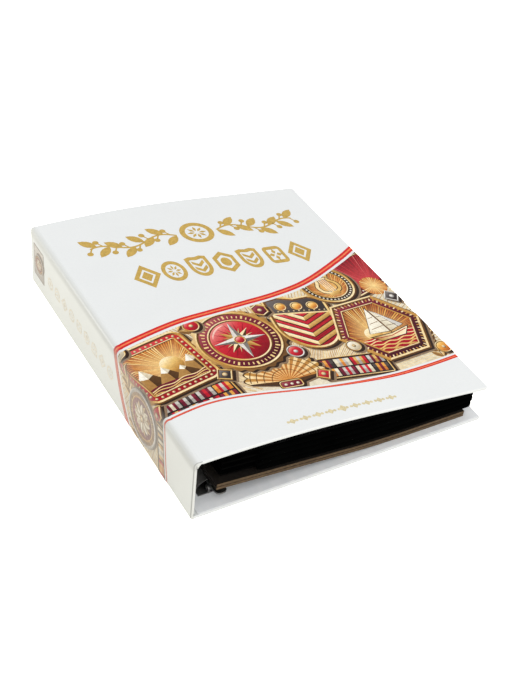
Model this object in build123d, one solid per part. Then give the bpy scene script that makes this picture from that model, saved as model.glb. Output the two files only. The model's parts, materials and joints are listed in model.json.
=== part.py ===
from build123d import *
import os
from math import sin, cos, radians, degrees, sqrt

# A ring album for pin badges, closed and lying on its back cover.
# Millimetres. X runs from the spine to the fore edge, Y from the tail to the head, Z up.
# The origin is on the table, in the middle of the album's outline.

os.makedirs("parts", exist_ok=True)

# Case
ALBUM_WIDTH = 228.0
ALBUM_HEIGHT = 270.0
ALBUM_THICKNESS = 50.0
BOARD = 2.0
WRAP = 0.3
LINER = 0.3
TURN_IN = 15.0
LINER_MARGIN = 3.0
JOINT_RADIUS = 2.8
JOINT_CLEARANCE = 0.3
JOINT_LEG = 2.2
JOINT_START_ANGLE = 180.0
JOINT_SWEEP_ANGLE = 140.0

# Bow of the front cover: flat beside the spine, then one long bend, then straight to the fore edge
BOW_START = 15.0
BOW_ANGLE = 7.3
BOW_RADIUS = 986.6

# Ring mechanism, riveted to the back cover beside the spine
RING_FROM_SPINE = 25.0
RING_HEIGHT = 26.0
RING_RADIUS = 17.5
WIRE_RADIUS = 1.5
WIRE_SIDES = 8
BOW_RUNS = 18
BEND_RUNS = 4
RING_COUNT = 4
RING_PITCH = 70.0
RING_SPLIT = 122.0
SPLIT_GAP = 0.2
TIP_CONE = 0.9
TIP_CONE_RADIUS = 1.0
TIP_CONE_END_SHARE = 0.2
TIP_CLEARANCE = 0.15
FOOT_ANGLE = 58.0
FOOT_BEND = 4.0
FOOT_REACH = 2.3
STAKE_CLEARANCE = 0.05
PLATE = 0.9
PLATE_LENGTH = 242.0
ARCH_LENGTH = 232.0
ARCH_HALF_WIDTH = 12.5
ARCH_HEIGHT = 8.1
ARCH_SPLIT_GAP = 0.4
HINGE_ROD_RADIUS = 1.5
HINGE_CLEARANCE = 0.05
CURL_START_ANGLE = 270.0
CURL_MOUTH_ANGLE = 95.0

# Levers at the two ends of the mechanism
LEVER_PIVOT_FROM_END = 2.0
LEVER_PIVOT_HEIGHT = 3.3
LEVER_PIN_RADIUS = 1.0
LEVER_BORE_CLEARANCE = 0.06
LEVER_HUB_RADIUS = 2.2
LEVER_WIDTH = 8.0
LEVER_SHEET = 1.2
LEVER_REACH = 11.0
LEVER_RISE = 2.6
LEVER_ARM = 4.5
LEVER_PAD_SHARE = 0.8
EAR = 1.0
EAR_GAP = 0.5
EAR_HALF_LENGTH = 2.2
PIN_PROUD = 0.5

# Rivets
RIVET_COUNT = 3
RIVET_PITCH = 70.0
RIVET_RADIUS = 2.0
RIVET_HEAD_RADIUS = 4.5
RIVET_HEAD = 0.8
RIVET_DOME_RADIUS = 3.5
RIVET_DOME_TOP_RADIUS = 2.2
RIVET_DOME = 1.1
RIVET_CLEARANCE = 0.05

# Stack of kraft boards and badge pages. It slopes down from the rings, then lies flat.
SHEET_CLEARANCE = 0.3
SAG_ANGLE = 4.8
SAG_RADIUS = 600.0
SAG_END_FROM_SPINE = 170.0
KRAFT_COUNT = 2
KRAFT = 2.2
KRAFT_GAP = 0.4
KRAFT_HEIGHT = 259.0
KRAFT_INNER = -3.7
KRAFT_END_FROM_SPINE = 216.5
PAGE_COUNT = 4
PAGE = 4.7
PAGE_HEIGHT = 250.0
PAGE_INNER = 0.4
PAGE_END_FROM_SPINE = 223.0
PAGE_EDGE_CHAMFER = 1.2
PANEL_INNER = 26.0
STRIP = 1.2
STRIP_TUCK = 10.0
HOLE_RADIUS = 3.5
HOLE_LINE = 16.5
HOLE_PLAY_SHARE = 0.6

# Places that follow from the sizes above
SPINE_X = -ALBUM_WIDTH / 2
FORE_X = ALBUM_WIDTH / 2
HINGE_X = SPINE_X + JOINT_RADIUS
BACK_HINGE_Z = JOINT_RADIUS
FRONT_HINGE_Z = ALBUM_THICKNESS - JOINT_RADIUS
COVER_X = HINGE_X + JOINT_RADIUS + JOINT_CLEARANCE
BOARD_FACE = WRAP + BOARD
TURN_FACE = BOARD_FACE + WRAP
CASE_WALL = TURN_FACE + LINER
CUT_PAST = 1.0
ON_BASE = (Align.CENTER, Align.CENTER, Align.MIN)

RING_X = SPINE_X + RING_FROM_SPINE
ROD_X = RING_X - ARCH_HALF_WIDTH
CURL_RADIUS = HINGE_ROD_RADIUS + HINGE_CLEARANCE + PLATE
ROD_Z = CASE_WALL + CURL_RADIUS
ARCH_TOP = CASE_WALL + ARCH_HEIGHT
PLATE_TOP = CASE_WALL + PLATE
SHEET_FLOOR = CASE_WALL + SHEET_CLEARANCE
KRAFT_PITCH = KRAFT + KRAFT_GAP
PAGE_PITCH = PAGE + SHEET_CLEARANCE
PAGES_FROM = KRAFT_COUNT * KRAFT_PITCH - KRAFT_GAP + SHEET_CLEARANCE


def save(solid, node):
    """Write one piece to its own file."""
    solid.label = node
    export_step(solid, "parts/" + node + ".step")


def prism(edges, y_low, y_high):
    """The outline, drawn in X and Z, run along Y from y_low to y_high."""
    outline = Plane.XZ * Face(Wire(edges))
    outline = outline.moved(Location((0, y_low, 0)))
    return Solid.extrude(outline, Vector(0, y_high - y_low, 0))


def block(x_low, x_high, y_low, y_high, z_low, z_high):
    """A rectangular block between two corners."""
    size = Box(x_high - x_low, y_high - y_low, z_high - z_low, align=(Align.MIN, Align.MIN, Align.MIN))
    return size.moved(Location((x_low, y_low, z_low)))


def upright(radius, x, y, z_low, z_high):
    """A vertical cylinder between two heights."""
    post = Cylinder(radius, z_high - z_low, align=ON_BASE)
    return post.moved(Location((x, y, z_low)))


def spread(count, pitch):
    """Evenly spaced places, centred on zero."""
    return [(i - (count - 1) / 2) * pitch for i in range(count)]


# Case panels. Each sheet lies between two depths below the panel's outer face.

def back_sheet(near, far, inset, past):
    """A layer of the back cover."""
    half = ALBUM_HEIGHT / 2 - inset
    return block(COVER_X - past, FORE_X - inset, -half, half, near, far)


def spine_sheet(near, far, inset, past):
    """A layer of the spine, open at its two long edges."""
    half = ALBUM_HEIGHT / 2 - inset
    z_low = BACK_HINGE_Z + JOINT_LEG - past
    z_high = FRONT_HINGE_Z - JOINT_LEG + past
    return block(SPINE_X + near, SPINE_X + far, -half, half, z_low, z_high)


def bow_points(depth, inset):
    """The bend's start, middle and end, and the fore edge, on one depth of the bowed cover."""
    angle = radians(BOW_ANGLE)
    radius = BOW_RADIUS - depth
    bend_x = SPINE_X + BOW_START
    centre_z = ALBUM_THICKNESS - BOW_RADIUS
    straight = (FORE_X - bend_x - BOW_RADIUS * sin(angle)) / cos(angle) - inset
    start = (bend_x, centre_z + radius)
    middle = (bend_x + radius * sin(angle / 2), centre_z + radius * cos(angle / 2))
    end = (bend_x + radius * sin(angle), centre_z + radius * cos(angle))
    fore = (end[0] + straight * cos(angle), end[1] - straight * sin(angle))
    return start, middle, end, fore


def front_sheet(near, far, inset, past):
    """A layer of the front cover, which bows down towards the fore edge."""
    half = ALBUM_HEIGHT / 2 - inset
    start_a, middle_a, end_a, fore_a = bow_points(near, inset)
    start_b, middle_b, end_b, fore_b = bow_points(far, inset)
    root_a = (COVER_X - past, start_a[1])
    root_b = (COVER_X - past, start_b[1])
    edges = [
        Line(root_a, start_a),
        ThreePointArc(start_a, middle_a, end_a),
        Line(end_a, fore_a),
        Line(fore_a, fore_b),
        Line(fore_b, end_b),
        ThreePointArc(end_b, middle_b, start_b),
        Line(start_b, root_b),
        Line(root_b, root_a),
    ]
    return prism(edges, -half, half)


def case_panel(sheet):
    """The board, the wrap with its turned-in edges and the liner of one panel."""
    board = sheet(WRAP, BOARD_FACE, WRAP, 0)
    wrap = sheet(0, TURN_FACE, 0, 0)
    wrap -= sheet(WRAP, BOARD_FACE, WRAP, CUT_PAST)
    wrap -= sheet(BOARD_FACE, TURN_FACE + CUT_PAST, TURN_IN, CUT_PAST)
    liner = sheet(BOARD_FACE, TURN_FACE, TURN_IN, 0)
    liner += sheet(TURN_FACE, CASE_WALL, LINER_MARGIN, 0)
    return board, wrap, liner


def joint_strip(hinge_z, side):
    """The bent strip between spine and cover. It is round about the hinge line."""
    outer = JOINT_RADIUS
    inner = JOINT_RADIUS - WRAP - LINER
    half = ALBUM_HEIGHT / 2
    arc_size = -side * JOINT_SWEEP_ANGLE
    hinge = (HINGE_X, hinge_z)
    outer_arc = CenterArc(hinge, outer, JOINT_START_ANGLE, arc_size)
    inner_arc = CenterArc(hinge, inner, JOINT_START_ANGLE, arc_size)
    leg_z = hinge_z - side * JOINT_LEG
    edges = [
        Line((HINGE_X - outer, leg_z), outer_arc @ 0),
        outer_arc,
        Line(outer_arc @ 1, inner_arc @ 1),
        inner_arc,
        Line(inner_arc @ 0, (HINGE_X - inner, leg_z)),
        Line((HINGE_X - inner, leg_z), (HINGE_X - outer, leg_z)),
    ]
    return prism(edges, -half, half)


# Ring mechanism

def bend_corners(centre, radius, start_angle, sweep_angle, runs):
    """The corners of a bend that is drawn as short straight runs, all touching its circle."""
    half = sweep_angle / runs / 2
    reach = radius / cos(radians(half))
    angles = [radians(start_angle + (2 * i + 1) * half) for i in range(runs)]
    return [(centre[0] + reach * cos(angle), centre[1] + reach * sin(angle)) for angle in angles]


def ring_half(start_angle, wire_radius):
    """A bent wire from the ring's split round to its foot, in the plane y = 0, centred on x = 0."""
    start = start_angle - degrees(SPLIT_GAP / 2 / RING_RADIUS)
    tip = (RING_RADIUS * cos(radians(start)), RING_HEIGHT + RING_RADIUS * sin(radians(start)))
    bend_from_ring = RING_RADIUS + FOOT_BEND
    foot_angle = radians(FOOT_ANGLE)
    bend_centre = (bend_from_ring * cos(foot_angle), RING_HEIGHT - bend_from_ring * sin(foot_angle))
    corners = bend_corners((0, RING_HEIGHT), RING_RADIUS, start, -(start + FOOT_ANGLE), BOW_RUNS)
    corners += bend_corners(bend_centre, FOOT_BEND, 180 - FOOT_ANGLE, FOOT_ANGLE, BEND_RUNS)
    foot_end = (bend_centre[0] - FOOT_BEND, bend_centre[1] - FOOT_REACH)
    path = Plane.XZ * Polyline(tip, *corners, foot_end)
    section = Plane(origin=path @ 0, z_dir=path % 0) * RegularPolygon(wire_radius, WIRE_SIDES)
    return sweep(section, path=path, transition=Transition.RIGHT)


def split_plane():
    """The plane of the ring's split, facing the fixed half."""
    angle = radians(RING_SPLIT)
    place = (RING_RADIUS * cos(angle), 0, RING_HEIGHT + RING_RADIUS * sin(angle))
    return Plane(origin=place, z_dir=(sin(angle), 0, -cos(angle)))


def ring_tip(start, end, radius):
    """The cone on the moving half's tip, or the recess for it, between two distances past the split."""
    cone = Cone(radius, radius * TIP_CONE_END_SHARE, end - start, align=ON_BASE)
    return split_plane().offset(start) * cone


def fixed_half():
    """The page side of a ring. Its tip has a recess for the other half's cone."""
    wire = ring_half(RING_SPLIT, WIRE_RADIUS)
    return wire - ring_tip(0, TIP_CONE + TIP_CLEARANCE, TIP_CONE_RADIUS + TIP_CLEARANCE)


def moving_half():
    """The spine side of a ring, with a cone on its tip."""
    wire = ring_half(180 - RING_SPLIT, WIRE_RADIUS).mirror(Plane.YZ)
    return wire + ring_tip(-SPLIT_GAP / 2, TIP_CONE, TIP_CONE_RADIUS)


def arch_circle():
    """Radius and centre height of the arch's outer face."""
    rise = ARCH_TOP - ROD_Z
    radius = (ARCH_HALF_WIDTH ** 2 + rise ** 2) / (2 * rise)
    return radius, ARCH_TOP - radius


def arch_point(radius, x):
    """The point on an arch face at a distance x from the ring's middle."""
    centre_z = arch_circle()[1]
    return (RING_X + x, centre_z + sqrt(radius ** 2 - x ** 2))


def arch_arc(radius, x_from, x_to):
    """A stretch of an arch face."""
    middle = (x_from + x_to) / 2
    return ThreePointArc(arch_point(radius, x_from), arch_point(radius, middle), arch_point(radius, x_to))


def base_plate():
    """A sheet with one arched side, a curl for the hinge rod, and ears for the lever pins."""
    outer = arch_circle()[0]
    inner = outer - PLATE
    near = ARCH_SPLIT_GAP / 2
    edge = ARCH_HALF_WIDTH
    wall_x = RING_X + edge
    shoulder = arch_point(outer, edge)
    inner_edge = edge - PLATE
    half = ARCH_LENGTH / 2
    edges = [
        Line((RING_X, CASE_WALL), (wall_x, CASE_WALL)),
        Line((wall_x, CASE_WALL), shoulder),
        arch_arc(outer, edge, near),
        Line(arch_point(outer, near), arch_point(inner, near)),
        arch_arc(inner, near, inner_edge),
        Line(arch_point(inner, inner_edge), (wall_x - PLATE, PLATE_TOP)),
        Line((wall_x - PLATE, PLATE_TOP), (RING_X, PLATE_TOP)),
        Line((RING_X, PLATE_TOP), (RING_X, CASE_WALL)),
    ]
    plate = prism(edges, -half, half)
    plate += prism(curl_outline(), -half, half)
    floor = block(ROD_X, wall_x, -PLATE_LENGTH / 2, PLATE_LENGTH / 2, CASE_WALL, PLATE_TOP)
    plate += floor
    for side in (-1, 1):
        for flank in (-1, 1):
            plate += lever_ear(side, flank)
    for y in spread(RING_COUNT, RING_PITCH):
        plate -= ring_half(RING_SPLIT, WIRE_RADIUS + STAKE_CLEARANCE).moved(Location((RING_X, y, 0)))
    for y in spread(RIVET_COUNT, RIVET_PITCH):
        plate -= upright(RIVET_RADIUS + RIVET_CLEARANCE, RING_X, y, 0, PLATE_TOP + CUT_PAST)
    return plate


def curl_outline():
    """The curl round the hinge rod, from under the rod, round its spine side, to its mouth."""
    inner = HINGE_ROD_RADIUS + HINGE_CLEARANCE
    rod = (ROD_X, ROD_Z)
    arc_size = CURL_MOUTH_ANGLE - CURL_START_ANGLE
    outer_arc = CenterArc(rod, CURL_RADIUS, CURL_START_ANGLE, arc_size)
    inner_arc = CenterArc(rod, inner, CURL_START_ANGLE, arc_size)
    return [
        outer_arc,
        Line(outer_arc @ 1, inner_arc @ 1),
        inner_arc,
        Line(inner_arc @ 0, outer_arc @ 0),
    ]


def lever_ear(side, flank):
    """One upright ear with a round top, beside a lever."""
    pivot_y = side * (PLATE_LENGTH / 2 - LEVER_PIVOT_FROM_END)
    pivot_z = CASE_WALL + LEVER_PIVOT_HEIGHT
    x_near = RING_X + flank * (LEVER_WIDTH / 2 + EAR_GAP)
    x_far = x_near + flank * EAR
    x_low = min(x_near, x_far)
    x_high = max(x_near, x_far)
    post = block(x_low, x_high, pivot_y - EAR_HALF_LENGTH, pivot_y + EAR_HALF_LENGTH, CASE_WALL, pivot_z)
    crown = Cylinder(EAR_HALF_LENGTH, EAR, rotation=(0, 90, 0))
    crown = crown.moved(Location(((x_low + x_high) / 2, pivot_y, pivot_z)))
    bore = Cylinder(LEVER_PIN_RADIUS, EAR + 2 * CUT_PAST, rotation=(0, 90, 0))
    bore = bore.moved(Location(((x_low + x_high) / 2, pivot_y, pivot_z)))
    return post + crown - bore


def ring_carrier():
    """The arched blade that carries the moving ring halves, with the hinge rod along its edge."""
    outer = arch_circle()[0]
    inner = outer - PLATE
    near = -ARCH_SPLIT_GAP / 2
    foot = -(ARCH_HALF_WIDTH - PLATE)
    edges = [
        arch_arc(outer, foot, near),
        Line(arch_point(outer, near), arch_point(inner, near)),
        arch_arc(inner, near, foot),
        Line(arch_point(inner, foot), arch_point(outer, foot)),
    ]
    half = ARCH_LENGTH / 2
    blade = prism(edges, -half, half)
    rod = Cylinder(HINGE_ROD_RADIUS, ARCH_LENGTH, rotation=(90, 0, 0)).moved(Location((ROD_X, 0, ROD_Z)))
    blade += rod
    for y in spread(RING_COUNT, RING_PITCH):
        wire = ring_half(180 - RING_SPLIT, WIRE_RADIUS + STAKE_CLEARANCE).mirror(Plane.YZ)
        blade -= wire.moved(Location((RING_X, y, 0)))
    return blade


def lever(side):
    """A pressed lever: a hub on the pin, a finger tongue outwards and an arm under the carrier."""
    pivot_y = PLATE_LENGTH / 2 - LEVER_PIVOT_FROM_END
    pivot_z = CASE_WALL + LEVER_PIVOT_HEIGHT
    half = LEVER_WIDTH / 2
    tongue_tip = (pivot_y + LEVER_REACH, pivot_z + LEVER_RISE)
    tongue_root = (pivot_y, pivot_z + LEVER_HUB_RADIUS - LEVER_SHEET)
    edges = [
        Line(tongue_root, tongue_tip),
        Line(tongue_tip, (tongue_tip[0], tongue_tip[1] + LEVER_SHEET)),
        Line((tongue_tip[0], tongue_tip[1] + LEVER_SHEET), (pivot_y, pivot_z + LEVER_HUB_RADIUS)),
        Line((pivot_y, pivot_z + LEVER_HUB_RADIUS), tongue_root),
    ]
    outline = Plane.YZ * Face(Wire(edges))
    tongue = Solid.extrude(outline.moved(Location((-half, 0, 0))), Vector(LEVER_WIDTH, 0, 0))
    pad_edges = tongue.edges().filter_by(Axis.Z).group_by(Axis.Y)[-1]
    tongue = fillet(pad_edges, half * LEVER_PAD_SHARE)
    arm_top = pivot_z + LEVER_HUB_RADIUS + EAR_GAP
    arm = block(-half, -EAR_GAP, pivot_y - LEVER_ARM, pivot_y, arm_top - LEVER_SHEET, arm_top)
    hub = Cylinder(LEVER_HUB_RADIUS, LEVER_WIDTH, rotation=(0, 90, 0)).moved(Location((0, pivot_y, pivot_z)))
    bore_length = LEVER_WIDTH + 2 * CUT_PAST
    bore = Cylinder(LEVER_PIN_RADIUS + LEVER_BORE_CLEARANCE, bore_length, rotation=(0, 90, 0))
    bore = bore.moved(Location((0, pivot_y, pivot_z)))
    piece = tongue + arm + hub - bore
    if side < 0:
        piece = piece.mirror(Plane.XZ)
    return piece.moved(Location((RING_X, 0, 0)))


def lever_pins():
    """The pins through the ears and the levers."""
    length = LEVER_WIDTH + 2 * (EAR_GAP + EAR + PIN_PROUD)
    pins = []
    for side in (-1, 1):
        pivot_y = side * (PLATE_LENGTH / 2 - LEVER_PIVOT_FROM_END)
        pin = Cylinder(LEVER_PIN_RADIUS, length, rotation=(0, 90, 0))
        pins.append(pin.moved(Location((RING_X, pivot_y, CASE_WALL + LEVER_PIVOT_HEIGHT))))
    return Compound(children=pins)


def rivet(y):
    """A flush head outside, a shank through the cover and the plate, and a low sloped head inside."""
    head = upright(RIVET_HEAD_RADIUS, RING_X, y, 0, RIVET_HEAD)
    shank = upright(RIVET_RADIUS, RING_X, y, 0, PLATE_TOP)
    dome = Cone(RIVET_DOME_RADIUS, RIVET_DOME_TOP_RADIUS, RIVET_DOME, align=ON_BASE)
    return head + shank + dome.moved(Location((RING_X, y, PLATE_TOP)))


def rivet_holes():
    """What the rivets take out of the back cover's layers."""
    holes = []
    for y in spread(RIVET_COUNT, RIVET_PITCH):
        head = upright(RIVET_HEAD_RADIUS + RIVET_CLEARANCE, RING_X, y, -CUT_PAST, RIVET_HEAD)
        shank = upright(RIVET_RADIUS + RIVET_CLEARANCE, RING_X, y, 0, CASE_WALL + CUT_PAST)
        holes.append(head + shank)
    return holes


# Kraft boards and pages. Their places run along the slope, from the foot of the square to the ring centre.

def slope_centre():
    """Distance from the bend to the ring centre along the slope, and the centre's height above it."""
    angle = radians(SAG_ANGLE)
    bend_x = SPINE_X + SAG_END_FROM_SPINE - SAG_RADIUS * sin(angle)
    bend_z = SHEET_FLOOR + SAG_RADIUS - SAG_RADIUS * cos(angle)
    away_x = RING_X - bend_x
    away_z = RING_HEIGHT - bend_z
    along = -away_x * cos(angle) + away_z * sin(angle)
    above = away_x * sin(angle) + away_z * cos(angle)
    return along, above


def slope_point(height, place):
    """A point on the slope, at a height above the stack's foot and a place right of the ring centre."""
    angle = radians(SAG_ANGLE)
    radius = SAG_RADIUS - height
    along = slope_centre()[0] - place
    x = SPINE_X + SAG_END_FROM_SPINE - radius * sin(angle) - along * cos(angle)
    z = SHEET_FLOOR + SAG_RADIUS - radius * cos(angle) + along * sin(angle)
    return (x, z)


def stack_sheet(low, high, inner, end_x, length):
    """A sheet of the stack between two heights: sloped, then bent, then flat."""
    angle = radians(SAG_ANGLE)
    flat_x = SPINE_X + SAG_END_FROM_SPINE
    points = []
    for height in (low, high):
        radius = SAG_RADIUS - height
        bend = (flat_x - radius * sin(angle), SHEET_FLOOR + SAG_RADIUS - radius * cos(angle))
        middle = (flat_x - radius * sin(angle / 2), SHEET_FLOOR + SAG_RADIUS - radius * cos(angle / 2))
        flat = (flat_x, SHEET_FLOOR + height)
        points.append((slope_point(height, inner), bend, middle, flat, (end_x, flat[1])))
    inner_a, bend_a, middle_a, flat_a, end_a = points[0]
    inner_b, bend_b, middle_b, flat_b, end_b = points[1]
    edges = [
        Line(inner_a, bend_a),
        ThreePointArc(bend_a, middle_a, flat_a),
        Line(flat_a, end_a),
        Line(end_a, end_b),
        Line(end_b, flat_b),
        ThreePointArc(flat_b, middle_b, bend_b),
        Line(bend_b, inner_b),
        Line(inner_b, inner_a),
    ]
    return prism(edges, -length / 2, length / 2)


def ring_place(height):
    """Where the ring crosses a sheet of the stack, right of the ring centre."""
    offset = height - slope_centre()[1]
    return sqrt(RING_RADIUS ** 2 - offset ** 2)


def hole_place(height):
    """The sheet's own hole line. It hangs between a straight stack and the ring's curve."""
    return HOLE_LINE + HOLE_PLAY_SHARE * (ring_place(height) - HOLE_LINE)


def punch(piece, low, high, place):
    """Cut the row of ring holes through a sheet, square to the slope."""
    x, z = slope_point((low + high) / 2, place)
    tilt = (sin(radians(SAG_ANGLE)), 0, cos(radians(SAG_ANGLE)))
    for y in spread(RING_COUNT, RING_PITCH):
        cutter = Cylinder(HOLE_RADIUS, high - low + 2 * CUT_PAST)
        piece -= Plane(origin=(x, y, z), z_dir=tilt) * cutter
    return piece


def kraft_board(index):
    """One kraft board, numbered from the bottom."""
    low = index * KRAFT_PITCH
    high = low + KRAFT
    board = stack_sheet(low, high, KRAFT_INNER, SPINE_X + KRAFT_END_FROM_SPINE, KRAFT_HEIGHT)
    return punch(board, low, high, ring_place((low + high) / 2))


def page_heights(number):
    """Lower and upper face of a page. Page 1 is the top one."""
    low = PAGES_FROM + (PAGE_COUNT - number) * PAGE_PITCH
    return low, low + PAGE


def page_strip(number):
    """The thin binding strip of a page, with its ring holes."""
    low, high = page_heights(number)
    middle = (low + high) / 2
    strip_low = middle - STRIP / 2
    strip_high = middle + STRIP / 2
    shift = hole_place(middle) - HOLE_LINE
    outer = PANEL_INNER + STRIP_TUCK + shift
    edges = [
        Line(slope_point(strip_low, PAGE_INNER), slope_point(strip_low, outer)),
        Line(slope_point(strip_low, outer), slope_point(strip_high, outer)),
        Line(slope_point(strip_high, outer), slope_point(strip_high, PAGE_INNER)),
        Line(slope_point(strip_high, PAGE_INNER), slope_point(strip_low, PAGE_INNER)),
    ]
    strip = prism(edges, -PAGE_HEIGHT / 2, PAGE_HEIGHT / 2)
    return punch(strip, strip_low, strip_high, hole_place(middle))


def page_panel(number):
    """The soft panel of a page, with eased head and tail edges and a slot for the binding strip."""
    low, high = page_heights(number)
    middle = (low + high) / 2
    shift = hole_place(middle) - HOLE_LINE
    panel = stack_sheet(low, high, PANEL_INNER + shift, SPINE_X + PAGE_END_FROM_SPINE + shift, PAGE_HEIGHT)
    tail = panel.faces().sort_by(Axis.Y)[0]
    head = panel.faces().sort_by(Axis.Y)[-1]
    rim = [edge for face in (tail, head) for edge in face.edges() if edge.length > 2 * PAGE]
    panel = chamfer(rim, PAGE_EDGE_CHAMFER)
    slot_low = middle - STRIP / 2
    slot_high = middle + STRIP / 2
    inner = PANEL_INNER + shift - CUT_PAST
    outer = PANEL_INNER + STRIP_TUCK + shift
    edges = [
        Line(slope_point(slot_low, inner), slope_point(slot_low, outer)),
        Line(slope_point(slot_low, outer), slope_point(slot_high, outer)),
        Line(slope_point(slot_high, outer), slope_point(slot_high, inner)),
        Line(slope_point(slot_high, inner), slope_point(slot_low, inner)),
    ]
    return panel - prism(edges, -PAGE_HEIGHT / 2, PAGE_HEIGHT / 2)


back_board, back_wrap, back_liner = case_panel(back_sheet)
for hole in rivet_holes():
    back_board -= hole
    back_wrap -= hole
    back_liner -= hole
spine_board, spine_wrap, spine_liner = case_panel(spine_sheet)
front_board, front_wrap, front_liner = case_panel(front_sheet)

save(back_board, "back_board")
save(back_wrap, "back_wrap")
save(back_liner, "back_liner")
save(spine_board, "spine_board")
save(spine_wrap, "spine_wrap")
save(spine_liner, "spine_liner")
save(front_board, "front_board")
save(front_wrap, "front_wrap")
save(front_liner, "front_liner")
save(joint_strip(BACK_HINGE_Z, -1), "back_joint")
save(joint_strip(FRONT_HINGE_Z, 1), "front_joint")

save(base_plate(), "ring_base_plate")
save(ring_carrier(), "ring_carrier")
for index, y in enumerate(spread(RING_COUNT, RING_PITCH)):
    save(fixed_half().moved(Location((RING_X, y, 0))), "fixed_ring_" + str(index + 1))
    save(moving_half().moved(Location((RING_X, y, 0))), "moving_ring_" + str(index + 1))
save(lever(1), "head_lever")
save(lever(-1), "tail_lever")
save(lever_pins(), "lever_pins")
save(Compound(children=[rivet(y) for y in spread(RIVET_COUNT, RIVET_PITCH)]), "plate_rivets")

for index in range(KRAFT_COUNT):
    save(kraft_board(index), "kraft_board_" + str(KRAFT_COUNT - index))
for number in range(1, PAGE_COUNT + 1):
    save(page_panel(number), "page_panel_" + str(number))
    save(page_strip(number), "page_strip_" + str(number))
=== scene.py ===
import json
from math import asin, atan2, cos, degrees, hypot, pi, radians, sin, tan
from random import Random

import bmesh
import bpy
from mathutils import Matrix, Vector

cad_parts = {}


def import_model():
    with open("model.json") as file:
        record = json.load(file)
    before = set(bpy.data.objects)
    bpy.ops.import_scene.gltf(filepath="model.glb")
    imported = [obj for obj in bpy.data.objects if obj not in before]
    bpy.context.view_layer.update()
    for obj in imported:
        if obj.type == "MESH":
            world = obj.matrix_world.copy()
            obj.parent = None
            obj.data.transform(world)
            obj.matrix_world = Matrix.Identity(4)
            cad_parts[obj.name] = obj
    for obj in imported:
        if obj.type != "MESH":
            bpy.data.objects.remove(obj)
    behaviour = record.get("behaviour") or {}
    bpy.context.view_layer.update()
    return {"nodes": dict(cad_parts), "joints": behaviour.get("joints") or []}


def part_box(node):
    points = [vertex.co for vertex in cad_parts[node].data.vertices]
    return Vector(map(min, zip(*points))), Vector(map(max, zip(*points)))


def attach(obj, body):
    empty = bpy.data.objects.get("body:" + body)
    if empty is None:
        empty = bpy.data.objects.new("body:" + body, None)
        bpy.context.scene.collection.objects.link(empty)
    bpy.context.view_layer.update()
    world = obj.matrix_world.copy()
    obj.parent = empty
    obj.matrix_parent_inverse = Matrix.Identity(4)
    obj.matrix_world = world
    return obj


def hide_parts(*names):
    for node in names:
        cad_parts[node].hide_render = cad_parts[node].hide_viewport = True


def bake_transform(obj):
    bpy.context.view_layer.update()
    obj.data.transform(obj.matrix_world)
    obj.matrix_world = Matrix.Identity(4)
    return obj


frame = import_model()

# A closed ring album for pin badges. Metres, Z up, the spine at -X and the tail edge at -Y.
MM = 0.001
CHANCE = Random(11)
ALONG_X = Vector((1, 0, 0))
ALONG_Y = Vector((0, 1, 0))
ALONG_Z = Vector((0, 0, 1))

# How near two places are when they count as one, or are merged
TOUCH = 1e-6
MERGE = 1e-7

# How many pages and rings there are, and how many steps a rounding has
PAGE_COUNT = 4
RING_COUNT = 4
ROUND_STEPS = 4

# Places taken from the frame
back_low, back_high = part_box("back_wrap")
spine_low, spine_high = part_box("spine_wrap")
joint_places = {joint["name"]: joint["pos_m"] for joint in frame["joints"]}
SPINE_X = spine_low.x
COVER_X = back_low.x
FORE_X = back_high.x
HALF_HEIGHT = back_high.y
TOP_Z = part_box("front_wrap")[1].z
PANEL = back_high.z
HALF_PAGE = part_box("page_panel_1")[1].y
RING_X, RING_Z = joint_places["page_1_turn"][::2]
HINGE_X = joint_places["spine_hinge"][0]

# The folded joint: a flat stretch beside the cover, a quarter turn, and a leg down to the spine's board
JOINT_RADIUS = HINGE_X - SPINE_X
JOINT_FLAT = COVER_X - HINGE_X
JOINT_TURN = JOINT_RADIUS * pi / 2
JOINT_LEG = spine_low.z - JOINT_RADIUS
JOINT_LENGTH = JOINT_FLAT + JOINT_TURN + JOINT_LEG
JOINT_THICKNESS = 2.2 * MM
JOINT_DROP = 5 * MM
GROOVE = 0.25 * MM
SPINE_LENGTH = spine_high.z - spine_low.z

# The shade of a fold, by the run from the front cover's edge
FOLD_SHADE_START = 1.8 * MM
FOLD_SHADE_GROWS = 4.4 * MM
FOLD_SHADE_FADES = 5 * MM
FOLD_SHADE_END = JOINT_LENGTH + 4 * MM

# Painted shade: how dark the paper is painted on a fold and along its turned ends and edges, how far the
# spine's painted shade grows, and where the cover's lower edge is painted shaded
FOLD_PAINTED_SHADE = 0.40
TURNED_END_PAINTED_SHADE = 0.9
TURNED_EDGE_PAINTED_SHADE = 0.7
SPINE_SHADE_GROWS = 6 * MM
SHADED_EDGE_START = SPINE_X + 192 * MM
SHADED_EDGE_GROWS = 20 * MM

# Boards, linings and rivet seats
BOARD_ROUND = 0.7 * MM
BOARD_CORNER = 1.5 * MM
ROUNDING_START = 0.02 * BOARD_ROUND
ROUNDING_END = 0.65 * BOARD_ROUND
LINING = 0.3 * MM
LINING_MARGIN = 1.0 * MM
LINING_CORNER = 2 * MM
CORNER_REACH = 5.4 * MM
CORNER_SAG = 0.25 * MM
CORNER_ROW = 0.125
RIVET_PLACES = (-70 * MM, 0.0, 70 * MM)
RIVET_SEAT = 4.56 * MM
RIVET_SEAT_DEPTH = 0.82 * MM

# Rows that let a surface bend: wide ones on the covers and pages, fine ones on the folds
ROW_MM = 4.0
FOLD_ROW_MM = 0.35
ROW = ROW_MM * MM
FOLD_ROW = FOLD_ROW_MM * MM
PAD_ROW = 10 * MM
SPINE_ROW = 1 * MM

# The bow of the front cover: flat, then one long bend, then straight down to the fore edge
BOW_START = SPINE_X + 15 * MM
BOW_RADIUS = 986.6 * MM
BOW_ANGLE = radians(7.3)

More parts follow.
